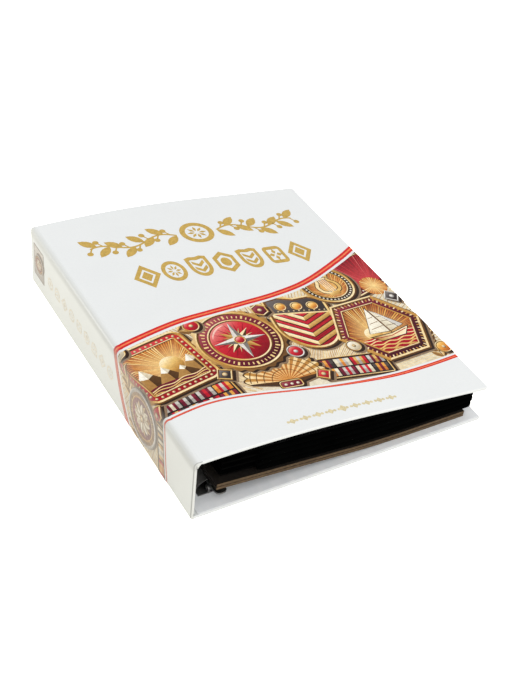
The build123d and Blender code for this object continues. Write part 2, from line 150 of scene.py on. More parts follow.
# The stack of pages: sloped down from the rings, then bent, then flat
SHEET_FLOOR = 3.2 * MM
SAG_ANGLE = radians(4.8)
SAG_RADIUS = 600 * MM
SAG_END = SPINE_X + 170 * MM

# The photograph's camera
PHOTO_HEIGHT_PX = 688
FOCAL_PX = 1243.8533
SENSOR_MM = 36.0
CAMERA_AZIMUTH = radians(-33.0007)
CAMERA_ELEVATION = radians(39.4909)
CAMERA_ROLL = radians(6.24823)
CAMERA_DISTANCE = 887.9055 * MM
CAMERA_TARGET = Vector((-3.5324, -20.3703, 20.0)) * MM


# Modelling helpers

def deselect():
    """Leave edit mode and select nothing."""
    if bpy.context.object and bpy.context.object.mode != "OBJECT":
        bpy.ops.object.mode_set(mode="OBJECT")
    bpy.ops.object.select_all(action="DESELECT")


def edit(piece):
    """Open one piece in edit mode, with nothing selected in it."""
    deselect()
    piece.select_set(True)
    bpy.context.view_layer.objects.active = piece
    bpy.ops.object.mode_set(mode="EDIT")
    bpy.ops.mesh.select_all(action="DESELECT")


def name_piece(name):
    """Name the new piece and settle its place in its mesh."""
    bpy.ops.object.transform_apply(location=True, rotation=True, scale=True)
    piece = bpy.context.object
    piece.name = name
    piece.data.name = name
    return piece


def add_block(name, low, high):
    """A block between two corners."""
    deselect()
    centre = (Vector(low) + Vector(high)) / 2
    bpy.ops.mesh.primitive_cube_add(size=1, location=centre, scale=Vector(high) - Vector(low))
    return name_piece(name)


def round_edges(piece, chosen, width):
    """Round the edges whose two ends pass the test."""
    edit(piece)
    bpy.ops.mesh.select_mode(type="EDGE")
    mesh = bmesh.from_edit_mesh(piece.data)
    for edge in mesh.edges:
        edge.select_set(chosen(edge.verts[0].co, edge.verts[1].co))
    bmesh.update_edit_mesh(piece.data)
    bpy.ops.mesh.bevel(offset=width, segments=ROUND_STEPS, affect="EDGES")
    bpy.ops.object.mode_set(mode="OBJECT")


def cut_rows(piece, places, axis):
    """Cut a piece into rows at places along one axis, so that it can bend."""
    edit(piece)
    for place in places:
        bpy.ops.mesh.select_all(action="SELECT")
        bpy.ops.mesh.bisect(plane_co=axis * place, plane_no=axis)
    bpy.ops.object.mode_set(mode="OBJECT")


def reshape(piece, place):
    """Move each point to the place that a formula gives."""
    for vertex in piece.data.vertices:
        vertex.co = place(vertex.co)
    piece.data.update()


def finish_piece(piece, material, smooth=35):
    """Outward faces, smooth shading up to an angle, one material."""
    edit(piece)
    bpy.ops.mesh.select_all(action="SELECT")
    bpy.ops.mesh.remove_doubles(threshold=MERGE)
    bpy.ops.mesh.normals_make_consistent(inside=False)
    bpy.ops.object.mode_set(mode="OBJECT")
    bpy.ops.object.shade_smooth_by_angle(angle=radians(smooth))
    piece.data.materials.clear()
    piece.data.materials.append(material)


def mark(piece, name, value):
    """Store a shading value between 0 and 1 at each point of a piece."""
    layer = piece.data.attributes.new(name, "FLOAT", "POINT")
    for index, vertex in enumerate(piece.data.vertices):
        layer.data[index].value = value(vertex.co)


def ease(share):
    """A smooth step from 0 to 1."""
    share = min(1.0, max(0.0, share))
    return share * share * (3 - 2 * share)


def steps(start, end, pitch):
    """Even places between two ends, about one pitch apart."""
    count = max(1, round(abs(end - start) / pitch))
    return [start + (end - start) * i / count for i in range(1, count)]


# Surfaces that pieces and print follow

def cover_point(x, y, depth):
    """A point below the outer face of the bowed front cover."""
    if x <= BOW_START:
        return Vector((x, y, TOP_Z - depth))
    bow_end = BOW_START + BOW_RADIUS * sin(BOW_ANGLE)
    turn = asin((x - BOW_START) / BOW_RADIUS) if x < bow_end else BOW_ANGLE
    drop = BOW_RADIUS * (1 - cos(turn))
    if x > bow_end:
        drop += (x - bow_end) * tan(BOW_ANGLE)
    return Vector((x - depth * sin(turn), y, TOP_Z - drop - depth * cos(turn)))


def fold_point(run, y, depth):
    """A point on the wrap, at a run from the front cover's edge, down the spine and under the album."""
    if run <= JOINT_FLAT:
        return Vector((COVER_X - run, y, TOP_Z - depth))
    if run <= JOINT_FLAT + JOINT_TURN:
        turn = (run - JOINT_FLAT) / JOINT_RADIUS
        radius = JOINT_RADIUS - depth
        return Vector((HINGE_X - radius * sin(turn), y, TOP_Z - JOINT_RADIUS + radius * cos(turn)))
    spine_end = 2 * JOINT_LENGTH + SPINE_LENGTH - JOINT_FLAT - JOINT_TURN
    if run <= spine_end:
        return Vector((SPINE_X + depth, y, TOP_Z - JOINT_RADIUS - (run - JOINT_FLAT - JOINT_TURN)))
    if run <= spine_end + JOINT_TURN:
        turn = (run - spine_end) / JOINT_RADIUS
        radius = JOINT_RADIUS - depth
        return Vector((HINGE_X - radius * cos(turn), y, JOINT_RADIUS - radius * sin(turn)))
    return Vector((HINGE_X + run - spine_end - JOINT_TURN, y, depth))


def groove(run):
    """How deep the joint is pressed in, at a run along one joint's flat stretch."""
    if 0 < run < JOINT_FLAT:
        return GROOVE * sin(pi * run / JOINT_FLAT) ** 2
    return 0.0


def fold_shade(run):
    """How dark the fold is, at a run from the front cover's edge."""
    growing = ease((run - FOLD_SHADE_START) / FOLD_SHADE_GROWS)
    return min(growing, ease((FOLD_SHADE_END - run) / FOLD_SHADE_FADES))


def at_rounding(distance):
    """True inside a rounded edge, at a distance from the flat face beyond it."""
    return ROUNDING_START < distance < ROUNDING_END


def wrap_point(along, y, depth):
    """A point on the whole wrap: along is positive over the front cover and negative round the spine."""
    past = along - (FORE_X - COVER_X - BOARD_ROUND)
    if past > 0:
        turn = min(past / BOARD_ROUND, pi / 2)
        radius = BOARD_ROUND - depth
        down = max(0.0, past - BOARD_ROUND * pi / 2)
        x = FORE_X - BOARD_ROUND + radius * sin(turn)
        return cover_point(x, y, BOARD_ROUND - radius * cos(turn) + down)
    if along >= 0:
        return cover_point(COVER_X + along, y, depth)
    run = -along
    whole = 2 * JOINT_LENGTH + SPINE_LENGTH
    return fold_point(run, y, depth + groove(run) + groove(whole - run))


def stack_base():
    """Distance from the stack's bend to the foot of the ring centre, along the slope."""
    bend_x = SAG_END - SAG_RADIUS * sin(SAG_ANGLE)
    bend_z = SHEET_FLOOR + SAG_RADIUS * (1 - cos(SAG_ANGLE))
    return -(RING_X - bend_x) * cos(SAG_ANGLE) + (RING_Z - bend_z) * sin(SAG_ANGLE)


def stack_point(place, y, height):
    """A point in the stack of pages, right of the ring centre and above the stack's foot."""
    along = stack_base() - place
    radius = SAG_RADIUS - height
    if along >= 0:
        x = SAG_END - radius * sin(SAG_ANGLE) - along * cos(SAG_ANGLE)
        z = SHEET_FLOOR + SAG_RADIUS - radius * cos(SAG_ANGLE) + along * sin(SAG_ANGLE)
        return Vector((x, y, z))
    turn = SAG_ANGLE + along / SAG_RADIUS
    if turn > 0:
        return Vector((SAG_END - radius * sin(turn), y, SHEET_FLOOR + SAG_RADIUS - radius * cos(turn)))
    return Vector((SAG_END - along - SAG_RADIUS * SAG_ANGLE, y, SHEET_FLOOR + height))


# Finishes

def set_values(node, values):
    """Plain values on a node's own sockets. A socket's spaces are written as underscores."""
    for socket, value in values.items():
        node.inputs[socket.replace("_", " ")].default_value = value


def new_material(name, **values):
    """A new material with its node tree and its shader, which has plain values on its sockets."""
    material = bpy.data.materials.new(name)
    material.use_nodes = True
    shader = material.node_tree.nodes["Principled BSDF"]
    set_values(shader, values)
    return material, material.node_tree, shader


def new_group(name, inputs, outputs):
    """A shader node group with named number inputs and named outputs."""
    group = bpy.data.node_groups.new(name, "ShaderNodeTree")
    for label, value in inputs:
        socket = group.interface.new_socket(label, in_out="INPUT", socket_type="NodeSocketFloat")
        socket.default_value = value
    for label, kind in outputs:
        group.interface.new_socket(label, in_out="OUTPUT", socket_type=kind)
    start = group.nodes.new("NodeGroupInput")
    end = group.nodes.new("NodeGroupOutput")
    return group, start, end


def place_group(tree, group, **values):
    """Place a group in a material with its own values."""
    node = tree.nodes.new("ShaderNodeGroup")
    node.node_tree = group
    set_values(node, values)
    return node


def link(tree, source, output, target, socket):
    """Link one node's output to another node's input."""
    tree.links.new(source.outputs[output], target.inputs[socket])


def noise(tree, coordinates, output, scale, detail=3.0, roughness=0.55):
    """A noise pattern on the given coordinates."""
    node = tree.nodes.new("ShaderNodeTexNoise")
    set_values(node, {"Scale": scale, "Detail": detail, "Roughness": roughness})
    link(tree, coordinates, output, node, "Vector")
    return node


def stretch(tree, place, scale):
    """Object coordinates stretched by a different scale along each axis."""
    node = tree.nodes.new("ShaderNodeMapping")
    set_values(node, {"Scale": scale})
    link(tree, place, "Object", node, "Vector")
    return node


def math_node(tree, operation, first, second=0.0):
    """The result of an operation on two values, each a number or a (node, output) pair."""
    node = tree.nodes.new("ShaderNodeMath")
    node.operation = operation
    for index, value in enumerate((first, second)):
        if isinstance(value, tuple):
            tree.links.new(value[0].outputs[value[1]], node.inputs[index])
        else:
            node.inputs[index].default_value = value
    return node


def remap(tree, source, output, low, high, to_low=0.0, to_high=1.0):
    """A value moved from one range to another."""
    node = tree.nodes.new("ShaderNodeMapRange")
    set_values(node, {"From_Min": low, "From_Max": high, "To_Min": to_low, "To_Max": to_high})
    link(tree, source, output, node, "Value")
    return node


# The Mix node's sockets for colours, by number, because others have the same names
FACTOR_IN = 0
FIRST_IN = 6
SECOND_IN = 7
COLOUR_OUT = 2


def mix_colour(tree, factor, first, second, blend="MIX"):
    """A mix of two colours, each fixed or a (node, output) pair. The factor is a number or a pair."""
    node = tree.nodes.new("ShaderNodeMix")
    node.data_type = "RGBA"
    node.blend_type = blend
    for socket, value in ((FACTOR_IN, factor), (FIRST_IN, first), (SECOND_IN, second)):
        if isinstance(value, tuple) and not isinstance(value[0], float):
            tree.links.new(value[0].outputs[value[1]], node.inputs[socket])
        else:
            node.inputs[socket].default_value = value if socket == FACTOR_IN else (*value, 1.0)
    return node


def roughen(tree, shader, source, output, strength, distance):
    """A bump on the shader's normal that reads a height."""
    node = tree.nodes.new("ShaderNodeBump")
    set_values(node, {"Strength": strength, "Distance": distance})
    link(tree, source, output, node, "Height")
    link(tree, node, "Normal", shader, "Normal")


def paper_group():
    """Fibre mottling and the fine grain of laminated or plain paper."""
    group, start, end = new_group(
        "paper_surface",
        [("Mottle Scale", 60.0), ("Grain Scale", 900.0)],
        [("Tone", "NodeSocketFloat"), ("Height", "NodeSocketFloat")],
    )
    place = group.nodes.new("ShaderNodeTexCoord")
    mottle = noise(group, place, "Object", 60.0)
    link(group, start, "Mottle Scale", mottle, "Scale")
    grain = noise(group, place, "Object", 900.0, detail=2.0)
    link(group, start, "Grain Scale", grain, "Scale")
    both = math_node(group, "ADD", (mottle, "Fac"), (grain, "Fac"))
    half = math_node(group, "MULTIPLY", (both, 0), 0.5)
    link(group, half, 0, end, "Tone")
    link(group, grain, "Fac", end, "Height")
    return group


PAPER = paper_group()


def mottled(tree, paper, dark, pale):
    """Two tones mixed by the paper's mottling."""
    share = remap(tree, paper, "Tone", 0.35, 0.65)
    return mix_colour(tree, (share, 0), dark, pale)


def satin_film(tree, shader, paper):
    """The slightly uneven gloss of the film on the print."""
    gloss = remap(tree, paper, "Tone", 0.3, 0.7, 0.30, 0.40)
    link(tree, gloss, 0, shader, "Roughness")


def split_axes(tree, place, output):
    """The three axes of a coordinate or a direction."""
    node = tree.nodes.new("ShaderNodeSeparateXYZ")
    link(tree, place, output, node, "Vector")
    return node


def laminated_paper():
    """White printed paper under a satin film. Its marks paint shade on the folds and rounded edges, and paint
    the spine darker and warmer.
    """
    material, tree, shader = new_material("laminated_paper", Coat_Weight=0.25, Coat_Roughness=0.22)
    paper = place_group(tree, PAPER, Mottle_Scale=22.0, Grain_Scale=700.0)
    colour = mottled(tree, paper, (0.760, 0.778, 0.778), (0.787, 0.805, 0.803))
    # Painted shade: the first attribute darkens the folds and rounded edges; the spine attribute paints the
    # spine darker and warmer
    for name, tint in (("crease", (0.50, 0.50, 0.49)), ("spine", (0.925, 0.920, 0.885))):
        place = tree.nodes.new("ShaderNodeAttribute")
        place.attribute_name = name
        shade = mix_colour(tree, (place, "Fac"), (1.0, 1.0, 1.0), tint)
        colour = mix_colour(tree, 1.0, (colour, COLOUR_OUT), (shade, COLOUR_OUT), "MULTIPLY")
    link(tree, colour, COLOUR_OUT, shader, "Base Color")
    satin_film(tree, shader, paper)
    roughen(tree, shader, paper, "Height", 0.05, 0.02 * MM)
    return material


def printed_ink():
    """Printed inks under the same satin film. Each face's ink is in its attribute."""
    material, tree, shader = new_material("printed_ink", Specular_IOR_Level=0.06)
    ink = tree.nodes.new("ShaderNodeVertexColor")
    ink.layer_name = "ink"
    paper = place_group(tree, PAPER, Mottle_Scale=420.0, Grain_Scale=1900.0)
    grain = mottled(tree, paper, (0.78, 0.77, 0.76), (1.18, 1.17, 1.15))
    colour = mix_colour(tree, 1.0, (ink, "Color"), (grain, COLOUR_OUT), "MULTIPLY")
    link(tree, colour, COLOUR_OUT, shader, "Base Color")
    satin_film(tree, shader, paper)
    return material


def liner_paper():
    """Pale blue-grey lining paper with faint streaks along its grain."""
    material, tree, shader = new_material("lining_paper", Roughness=0.62)
    place = tree.nodes.new("ShaderNodeTexCoord")
    along = stretch(tree, place, (40.0, 5.0, 40.0))
    streaks = noise(tree, along, "Vector", 4.0, detail=5.0)
    pale = remap(tree, streaks, "Fac", 0.35, 0.65)
    colour = mix_colour(tree, (pale, 0), (0.830, 0.850, 0.870), (0.890, 0.900, 0.910))
    link(tree, colour, COLOUR_OUT, shader, "Base Color")
    paper = place_group(tree, PAPER, Mottle_Scale=90.0, Grain_Scale=1500.0)
    roughen(tree, shader, paper, "Tone", 0.25, 0.04 * MM)
    return material


def velour():
    """Black brushed cloth with a short pile: painted light makes the faces paler, and painted shade keeps the
    turned edges darker.
    """
    material, tree, shader = new_material(
        "black_velour", Roughness=0.95, Specular_IOR_Level=0.0, Sheen_Weight=0.004, Sheen_Roughness=0.5
    )
    place = tree.nodes.new("ShaderNodeTexCoord")
    pile = noise(tree, place, "Object", 2600.0, detail=2.0)
    nap = noise(tree, place, "Object", 45.0, detail=4.0)
    both = math_node(tree, "MULTIPLY", (pile, "Fac"), (nap, "Fac"))
    tuft = remap(tree, both, 0, 0.12, 0.42)
    # Painted shade on the turned edges and painted light on the upward faces, chosen by which way each
    # surface faces
    edge = mix_colour(tree, (tuft, 0), (0.0002, 0.0003, 0.0003), (0.0012, 0.0014, 0.0014))
    face = mix_colour(tree, (tuft, 0), (0.0028, 0.0029, 0.0031), (0.0100, 0.0102, 0.0106))
    facing = split_axes(tree, place, "Normal")
    flat = remap(tree, math_node(tree, "ABSOLUTE", (facing, "Z")), 0, 0.95, 0.995)
    colour = mix_colour(tree, (flat, 0), (edge, COLOUR_OUT), (face, COLOUR_OUT))
    link(tree, colour, COLOUR_OUT, shader, "Base Color")
    roughen(tree, shader, pile, "Fac", 0.5, 0.12 * MM)
    return material


def stack_height(tree, axes):
    """Height above the sagging foot of the stack: flat, then bent, then straight up the slope."""
    def step(operation, first, second=0.0):
        return (math_node(tree, operation, first, second), 0)

    bend = SAG_RADIUS * sin(SAG_ANGLE)
    before = step("SUBTRACT", SAG_END, (axes, "X"))
    bent = step("MINIMUM", step("MAXIMUM", before), bend)
    bent_rise = step("MULTIPLY", step("MULTIPLY", bent, bent), 0.5 / SAG_RADIUS)
    past = step("MAXIMUM", step("SUBTRACT", before, bend))
    slope_rise = step("MULTIPLY", past, tan(SAG_ANGLE))
    return step("SUBTRACT", (axes, "Z"), step("ADD", bent_rise, slope_rise))


def kraft():
    """Hard brown board: paler cut edges with fine plies, and painted shade near black on the flat faces and
    on the inner edge towards the spine.
    """
    material, tree, shader = new_material("kraft_board", Roughness=0.78, Specular_IOR_Level=0.25)
    place = tree.nodes.new("ShaderNodeTexCoord")
    axes = split_axes(tree, place, "Object")
    sheet = tree.nodes.new("ShaderNodeCombineXYZ")
    for axis, source, scale in (("Z", stack_height(tree, axes), 2600.0), ("X", (axes, "X"), 26.0),
                                ("Y", (axes, "Y"), 26.0)):
        link(tree, math_node(tree, "MULTIPLY", source, scale), 0, sheet, axis)
    ply = noise(tree, sheet, "Vector", 1.0, detail=2.0)
    flecks = noise(tree, place, "Object", 520.0, detail=4.0, roughness=0.7)
    both = math_node(tree, "ADD", (flecks, "Fac"), (ply, "Fac"))
    edge_tone = remap(tree, both, 0, 0.75, 1.3)
    edge = mix_colour(tree, (edge_tone, 0), (0.060, 0.037, 0.019), (0.155, 0.100, 0.052))
    # Painted shade: the near-black colour for the flat faces and the inner edge
    shaded_face_tone = remap(tree, flecks, "Fac", 0.35, 0.70)
    face = mix_colour(tree, (shaded_face_tone, 0), (0.003, 0.0019, 0.0012), (0.013, 0.0082, 0.0050))
    # Faces that point up, down or towards the spine get the painted shade
    facing = split_axes(tree, place, "Normal")
    inner = math_node(tree, "MULTIPLY", (facing, "X"), -1.0)
    shaded_sides = math_node(tree, "MAXIMUM", (math_node(tree, "ABSOLUTE", (facing, "Z")), 0), (inner, 0))
    flat = remap(tree, shaded_sides, 0, 0.6, 0.9)
    colour = mix_colour(tree, (flat, 0), (edge, COLOUR_OUT), (face, COLOUR_OUT))
    link(tree, colour, COLOUR_OUT, shader, "Base Color")
    roughen(tree, shader, both, 0, 0.5, 0.10 * MM)
    return material


def nickel():
    """Nickel-plated steel with fine rubbing marks. Its colour is painted darker than bright nickel, as
    painted shade.
    """
    material, tree, shader = new_material("nickel_plate", Metallic=1.0)
    place = tree.nodes.new("ShaderNodeTexCoord")
    rubbed = stretch(tree, place, (900.0, 60.0, 900.0))
    marks = noise(tree, rubbed, "Vector", 1.0, detail=4.0)
    cloud = noise(tree, place, "Object", 70.0)
    gloss = remap(tree, marks, "Fac", 0.3, 0.7, 0.34, 0.50)
    worn = remap(tree, cloud, "Fac", 0.3, 0.7)
    # Painted shade: both colours are darker than bright nickel
    colour = mix_colour(tree, (worn, 0), (0.17, 0.17, 0.165), (0.24, 0.235, 0.23))
    link(tree, colour, COLOUR_OUT, shader, "Base Color")
    link(tree, gloss, 0, shader, "Roughness")
    return material


def black_strip():
    """Black plastic-coated binding strip with a fine pressed texture."""
    material, tree, shader = new_material("binding_strip", Roughness=0.75, Specular_IOR_Level=0.01)
    paper = place_group(tree, PAPER, Mottle_Scale=300.0, Grain_Scale=2400.0)
    colour = mottled(tree, paper, (0.0006, 0.0006, 0.0006), (0.0020, 0.0020, 0.0020))
    link(tree, colour, COLOUR_OUT, shader, "Base Color")
    roughen(tree, shader, paper, "Height", 0.4, 0.05 * MM)
    return material


WHITE_PAPER = laminated_paper()
PRINT = printed_ink()
LINER = liner_paper()
VELOUR = velour()
KRAFT = kraft()
NICKEL = nickel()
STRIP = black_strip()


# Case pieces

def at_head_or_tail(a, b):
    """True for an edge at the album's head or tail."""
    return min(abs(a.y), abs(b.y)) > HALF_HEIGHT - TOUCH and a.y * b.y > 0


def at_fore_edge(a, b):
    """True for an edge at the album's fore edge."""
    return min(a.x, b.x) > FORE_X - TOUCH


def cover_slab(name, low_z, high_z):
    """A cover board in its paper, with rounded free edges and folded corners."""
    slab = add_block(name, (COVER_X, -HALF_HEIGHT, low_z), (FORE_X, HALF_HEIGHT, high_z))
    round_edges(slab, lambda a, b: at_fore_edge(a, b) and abs(a.y - b.y) < TOUCH, BOARD_CORNER)
    round_edges(slab, lambda a, b: abs(a.z - b.z) < TOUCH and max(a.x, b.x) > COVER_X + TOUCH, BOARD_ROUND)
    return slab


def front_cover():
    """The bowed front cover. The lower rounding of its edge has painted shade near the fore edge."""
    slab = cover_slab("front_cover_print", TOP_Z - PANEL, TOP_Z)
    cut_rows(slab, steps(COVER_X, FORE_X, ROW), ALONG_X)

    # Painted shade along the lower rounding of the edge, growing towards the fore edge
    def crease(point):
        lower = at_rounding(point.z - TOP_Z + PANEL)
        return ease((point.x - SHADED_EDGE_START) / SHADED_EDGE_GROWS) if lower else 0.0

    mark(slab, "crease", crease)
    reshape(slab, lambda p: cover_point(p.x, p.y, TOP_Z - p.z))
    finish_piece(slab, WHITE_PAPER)
    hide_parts("front_wrap", "front_board")
    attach(slab, "front_cover")


def back_cover():
    """The flat back cover, with seats for the rivet heads."""
    slab = cover_slab("back_cover_print", 0.0, PANEL)
    for y in RIVET_PLACES:
        deselect()
        bpy.ops.mesh.primitive_cylinder_add(vertices=48, radius=RIVET_SEAT, depth=2 * RIVET_SEAT_DEPTH,
                                            location=(RING_X, y, 0))
        seat = name_piece("rivet_seat")
        cutter = slab.modifiers.new("seat", "BOOLEAN")
        cutter.operation = "DIFFERENCE"
        cutter.solver = "EXACT"
        cutter.object = seat
        deselect()
        bpy.context.view_layer.objects.active = slab
        bpy.ops.object.modifier_apply(modifier="seat")
        bpy.data.objects.remove(seat)
    finish_piece(slab, WHITE_PAPER)
    # Painted shade along the lower rounding of the free edges
    mark(slab, "crease", lambda p: TURNED_EDGE_PAINTED_SHADE if at_rounding(p.z) else 0.0)
    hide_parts("back_wrap", "back_board")
    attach(slab, "back_cover")


def lining(name, node, body):
    """The lining paper inside a cover, pasted down to a narrow margin of the turned-in wrap."""
    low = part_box(node)[0]
    bowed = low.z > TOP_Z / 2
    base = TOP_Z - PANEL - LINING if bowed else PANEL
    reach = HALF_HEIGHT - LINING_MARGIN
    sheet = add_block(name, (low.x, -reach, base), (FORE_X - LINING_MARGIN, reach, base + LINING))
    round_edges(sheet, lambda a, b: abs(a.x - b.x) < TOUCH and abs(a.y - b.y) < TOUCH, LINING_CORNER)
    if bowed:
        cut_rows(sheet, steps(low.x, FORE_X - LINING_MARGIN, ROW), ALONG_X)
        reshape(sheet, lambda p: cover_point(p.x, p.y, TOP_Z - p.z))
    finish_piece(sheet, LINER)
    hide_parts(node)
    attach(sheet, body)


def spine():
    """The spine board in its paper. Its long edges run on into the joints."""
    foot, head = spine_low.z, spine_high.z
    slab = add_block("spine_print", (SPINE_X, -HALF_HEIGHT, foot), (SPINE_X + PANEL, HALF_HEIGHT, head))
    round_edges(slab, lambda a, b: at_head_or_tail(a, b) and abs(a.x - b.x) < TOUCH, BOARD_ROUND)
    cut_rows(slab, steps(head - JOINT_DROP, head, SPINE_ROW), ALONG_Z)
    finish_piece(slab, WHITE_PAPER)

    # Painted shade: a thin line on the rounded head and tail, and the fold's shade running on down from the
    # joint
    def crease(point):
        if at_rounding(HALF_HEIGHT - abs(point.y)) and point.x < SPINE_X + BOARD_ROUND:
            return TURNED_END_PAINTED_SHADE
        return FOLD_PAINTED_SHADE * fold_shade(JOINT_LENGTH + head - point.z)

    mark(slab, "crease", crease)
    # Painted shade: the whole spine painted darker and warmer
    mark(slab, "spine", lambda p: 1.0)
    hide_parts("spine_wrap", "spine_board")
    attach(slab, "spine")


def joint_paper(name, first_run, node):
    """The folded wrap and lining between the spine and a cover, with rounded ends."""
    last_run = first_run + JOINT_LENGTH
    block = add_block(name, (first_run, -HALF_HEIGHT, 0), (last_run, HALF_HEIGHT, JOINT_THICKNESS))
    cut_rows(block, steps(first_run, last_run, FOLD_ROW), ALONG_X)
    flat_end = HALF_HEIGHT - BOARD_ROUND
    ends = [flat_end + BOARD_ROUND * sin(i / ROUND_STEPS * pi / 2) for i in range(ROUND_STEPS)]
    cut_rows(block, [side * place for side in (-1, 1) for place in ends], ALONG_Y)

    def cover_run(point):
        return min(point.x, 2 * JOINT_LENGTH + SPINE_LENGTH - point.x)

    # Painted shade: a line on the rounded ends, and the fold's shade along the joint
    def crease(point):
        if at_rounding(HALF_HEIGHT - abs(point.y)) and point.z < JOINT_THICKNESS / 2:
            return TURNED_END_PAINTED_SHADE
        return FOLD_PAINTED_SHADE * fold_shade(point.x)

    def folded(point):
        past = max(0.0, abs(point.y) - flat_end)
        drop = BOARD_ROUND - (BOARD_ROUND ** 2 - min(past, BOARD_ROUND) ** 2) ** 0.5
        return wrap_point(-point.x, point.y, point.z + drop * (1 - 2 * point.z / JOINT_THICKNESS))

    mark(block, "crease", crease)
    # Painted shade: the spine's darker, warmer paint, growing in from each cover's edge
    mark(block, "spine", lambda p: ease(cover_run(p) / SPINE_SHADE_GROWS))
    reshape(block, folded)
    finish_piece(block, WHITE_PAPER)
    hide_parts(node)
    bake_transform(block)


def corner_lining():
    """The glued lining that spans the inner corner between the spine and the front cover."""
    corner = Vector((SPINE_X + JOINT_THICKNESS, 0, TOP_Z - JOINT_THICKNESS))
    cover_side = Vector((SPINE_X + CORNER_REACH, 0, corner.z))
    spine_side = Vector((SPINE_X + PANEL + LINING, 0, TOP_Z - CORNER_REACH))
    inward = Vector((1, 0, -1))
    reach = HALF_HEIGHT - LINING
    strip = add_block("corner_lining", (0, -reach, 0), (1, reach, 1))
    cut_rows(strip, steps(0, 1, CORNER_ROW), ALONG_X)

    def spanned(point):
        front = cover_side.lerp(spine_side, point.x) - inward * CORNER_SAG * sin(pi * point.x)
        to_cover = (cover_side - corner) * max(0.0, 1 - 2 * point.x)
        to_spine = (spine_side - corner) * max(0.0, 2 * point.x - 1)
        back = corner + to_cover + to_spine - inward * LINING / 2
        return back.lerp(front, point.z) + Vector((0, point.y, 0))

    # Painted shade: painted darker and warmer, as the spine is
    mark(strip, "spine", lambda p: 1.0)
    reshape(strip, spanned)
    finish_piece(strip, WHITE_PAPER)
    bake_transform(strip)


# Pages

PAD_THICKNESS = 4.9 * MM
PAD_ROUND = 1.5 * MM
PAD_CORNER = 2 * MM
PAD_TAPER = 3 * MM
PAD_LIP = 1.5 * MM
PAD_OVERHANG = 3.3 * MM


def stack_place(x, height):
    """The place in the stack of a point on the slope, from its x and its height."""
    run = SAG_END - (SAG_RADIUS - height) * sin(SAG_ANGLE) - x
    return stack_base() - run / cos(SAG_ANGLE)


def page_pad(number):
    """A page's foam panel in brushed black cloth. It thins towards the binding strip."""
    node = "page_panel_" + str(number)
    low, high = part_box(node)
    foot = low.z - SHEET_FLOOR
    inner = stack_place(low.x, foot)
    outer = high.x - SAG_END + stack_base() + SAG_RADIUS * SAG_ANGLE
    half = HALF_PAGE + PAD_OVERHANG
    pad = add_block("badge_page_" + str(number), (inner, -half, foot), (outer, half, foot + PAD_THICKNESS))
    round_edges(pad, lambda a, b: abs(a.z - b.z) > MM and a.x > outer - TOUCH, PAD_CORNER)
    round_edges(pad, lambda a, b: abs(a.z - b.z) < TOUCH and max(a.x, b.x) > inner + TOUCH, PAD_ROUND)
    cut_rows(pad, steps(inner, outer, ROW), ALONG_X)
    cut_rows(pad, steps(-half, half, PAD_ROW), ALONG_Y)
    middle = foot + PAD_THICKNESS / 2

    def swell(point):
        near = min(1.0, max(0.0, (point.x - inner) / PAD_TAPER))
        thin = PAD_LIP / PAD_THICKNESS + (1 - PAD_LIP / PAD_THICKNESS) * sin(near * pi / 2)
        return stack_point(point.x, point.y, middle + (point.z - middle) * thin)

    reshape(pad, swell)
    finish_piece(pad, VELOUR, smooth=60)
    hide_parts(node)
    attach(pad, "page_" + str(number))


# Rings

RING_RADIUS = 17.5 * MM
RING_SPLIT = radians(122)
RING_GAP = 0.2 * MM
WIRE_RADIUS = 1.5 * MM
FOOT_ANGLE = radians(58)
FOOT_BEND = 4 * MM
FOOT_REACH = 2.3 * MM
WIRE_SIDES = 20
WIRE_ROW = 0.8 * MM

# The cone on a spine-side tip, which seats in the other half. Its widths are shares of the wire's own
TIP_CONE = 0.9 * MM
CONE_FOOT = 2 / 3
CONE_TAPER = 0.8
SHOULDER_STEP = 0.001 * MM


def ring_wire(number, side):
    """Half of a ring as a bent round wire, from tip to foot. Its side is 1 by the pages, -1 by the spine."""
    node = ("fixed_ring_" if side > 0 else "moving_ring_") + str(number)
    low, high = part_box(node)
    split = RING_SPLIT if side > 0 else pi - RING_SPLIT
    start = split - RING_GAP / 2 / RING_RADIUS
    bow = RING_RADIUS * (start + FOOT_ANGLE)
    bend = FOOT_BEND * FOOT_ANGLE
    cone = TIP_CONE + RING_GAP / 2 if side < 0 else 0.0
    length = bow + bend + FOOT_REACH
    deselect()
    bpy.ops.mesh.primitive_cylinder_add(vertices=WIRE_SIDES, radius=WIRE_RADIUS, depth=length + cone,
                                        location=(0, 0, (length - cone) / 2))
    wire = name_piece(("page_side_ring_" if side > 0 else "spine_side_ring_") + str(number))
    shoulder = [-SHOULDER_STEP, 0.0] if cone else []
    cut_rows(wire, shoulder + steps(0.0, bow + bend, WIRE_ROW) + [bow + bend], ALONG_Z)
    from_ring = RING_RADIUS + FOOT_BEND
    bend_x, bend_z = from_ring * cos(FOOT_ANGLE), RING_Z - from_ring * sin(FOOT_ANGLE)

    def bent(point):
        run, out, across = point.z, point.x, point.y
        if run < -SHOULDER_STEP / 2:
            share = CONE_FOOT * (1 + CONE_TAPER * run / cone)
            out, across = out * share, across * share
        if run <= bow:
            angle = start - run / RING_RADIUS
            x, z = (RING_RADIUS + out) * cos(angle), RING_Z + (RING_RADIUS + out) * sin(angle)
        else:
            angle = pi - FOOT_ANGLE + min(run - bow, bend) / FOOT_BEND
            x, z = bend_x + (FOOT_BEND - out) * cos(angle), bend_z + (FOOT_BEND - out) * sin(angle)
            z -= max(0.0, run - bow - bend)
        return Vector((RING_X + side * x, (low.y + high.y) / 2 + across, z))

    reshape(wire, bent)
    finish_piece(wire, NICKEL, smooth=40)
    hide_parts(node)
    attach(wire, "back_cover" if side > 0 else "ring_carrier")


# Print. Flat inks on the opened wrap, in millimetres: s runs over the front cover from its spine edge and
# negative round the spine, y runs up from the tail. An ink face is a list of (s, y, red, green, blue).

INK_LIFT = 0.010 * MM
INK_STEP = 0.010 * MM
INK_CELL = 2.0
LIGHT_ANGLE = radians(125)

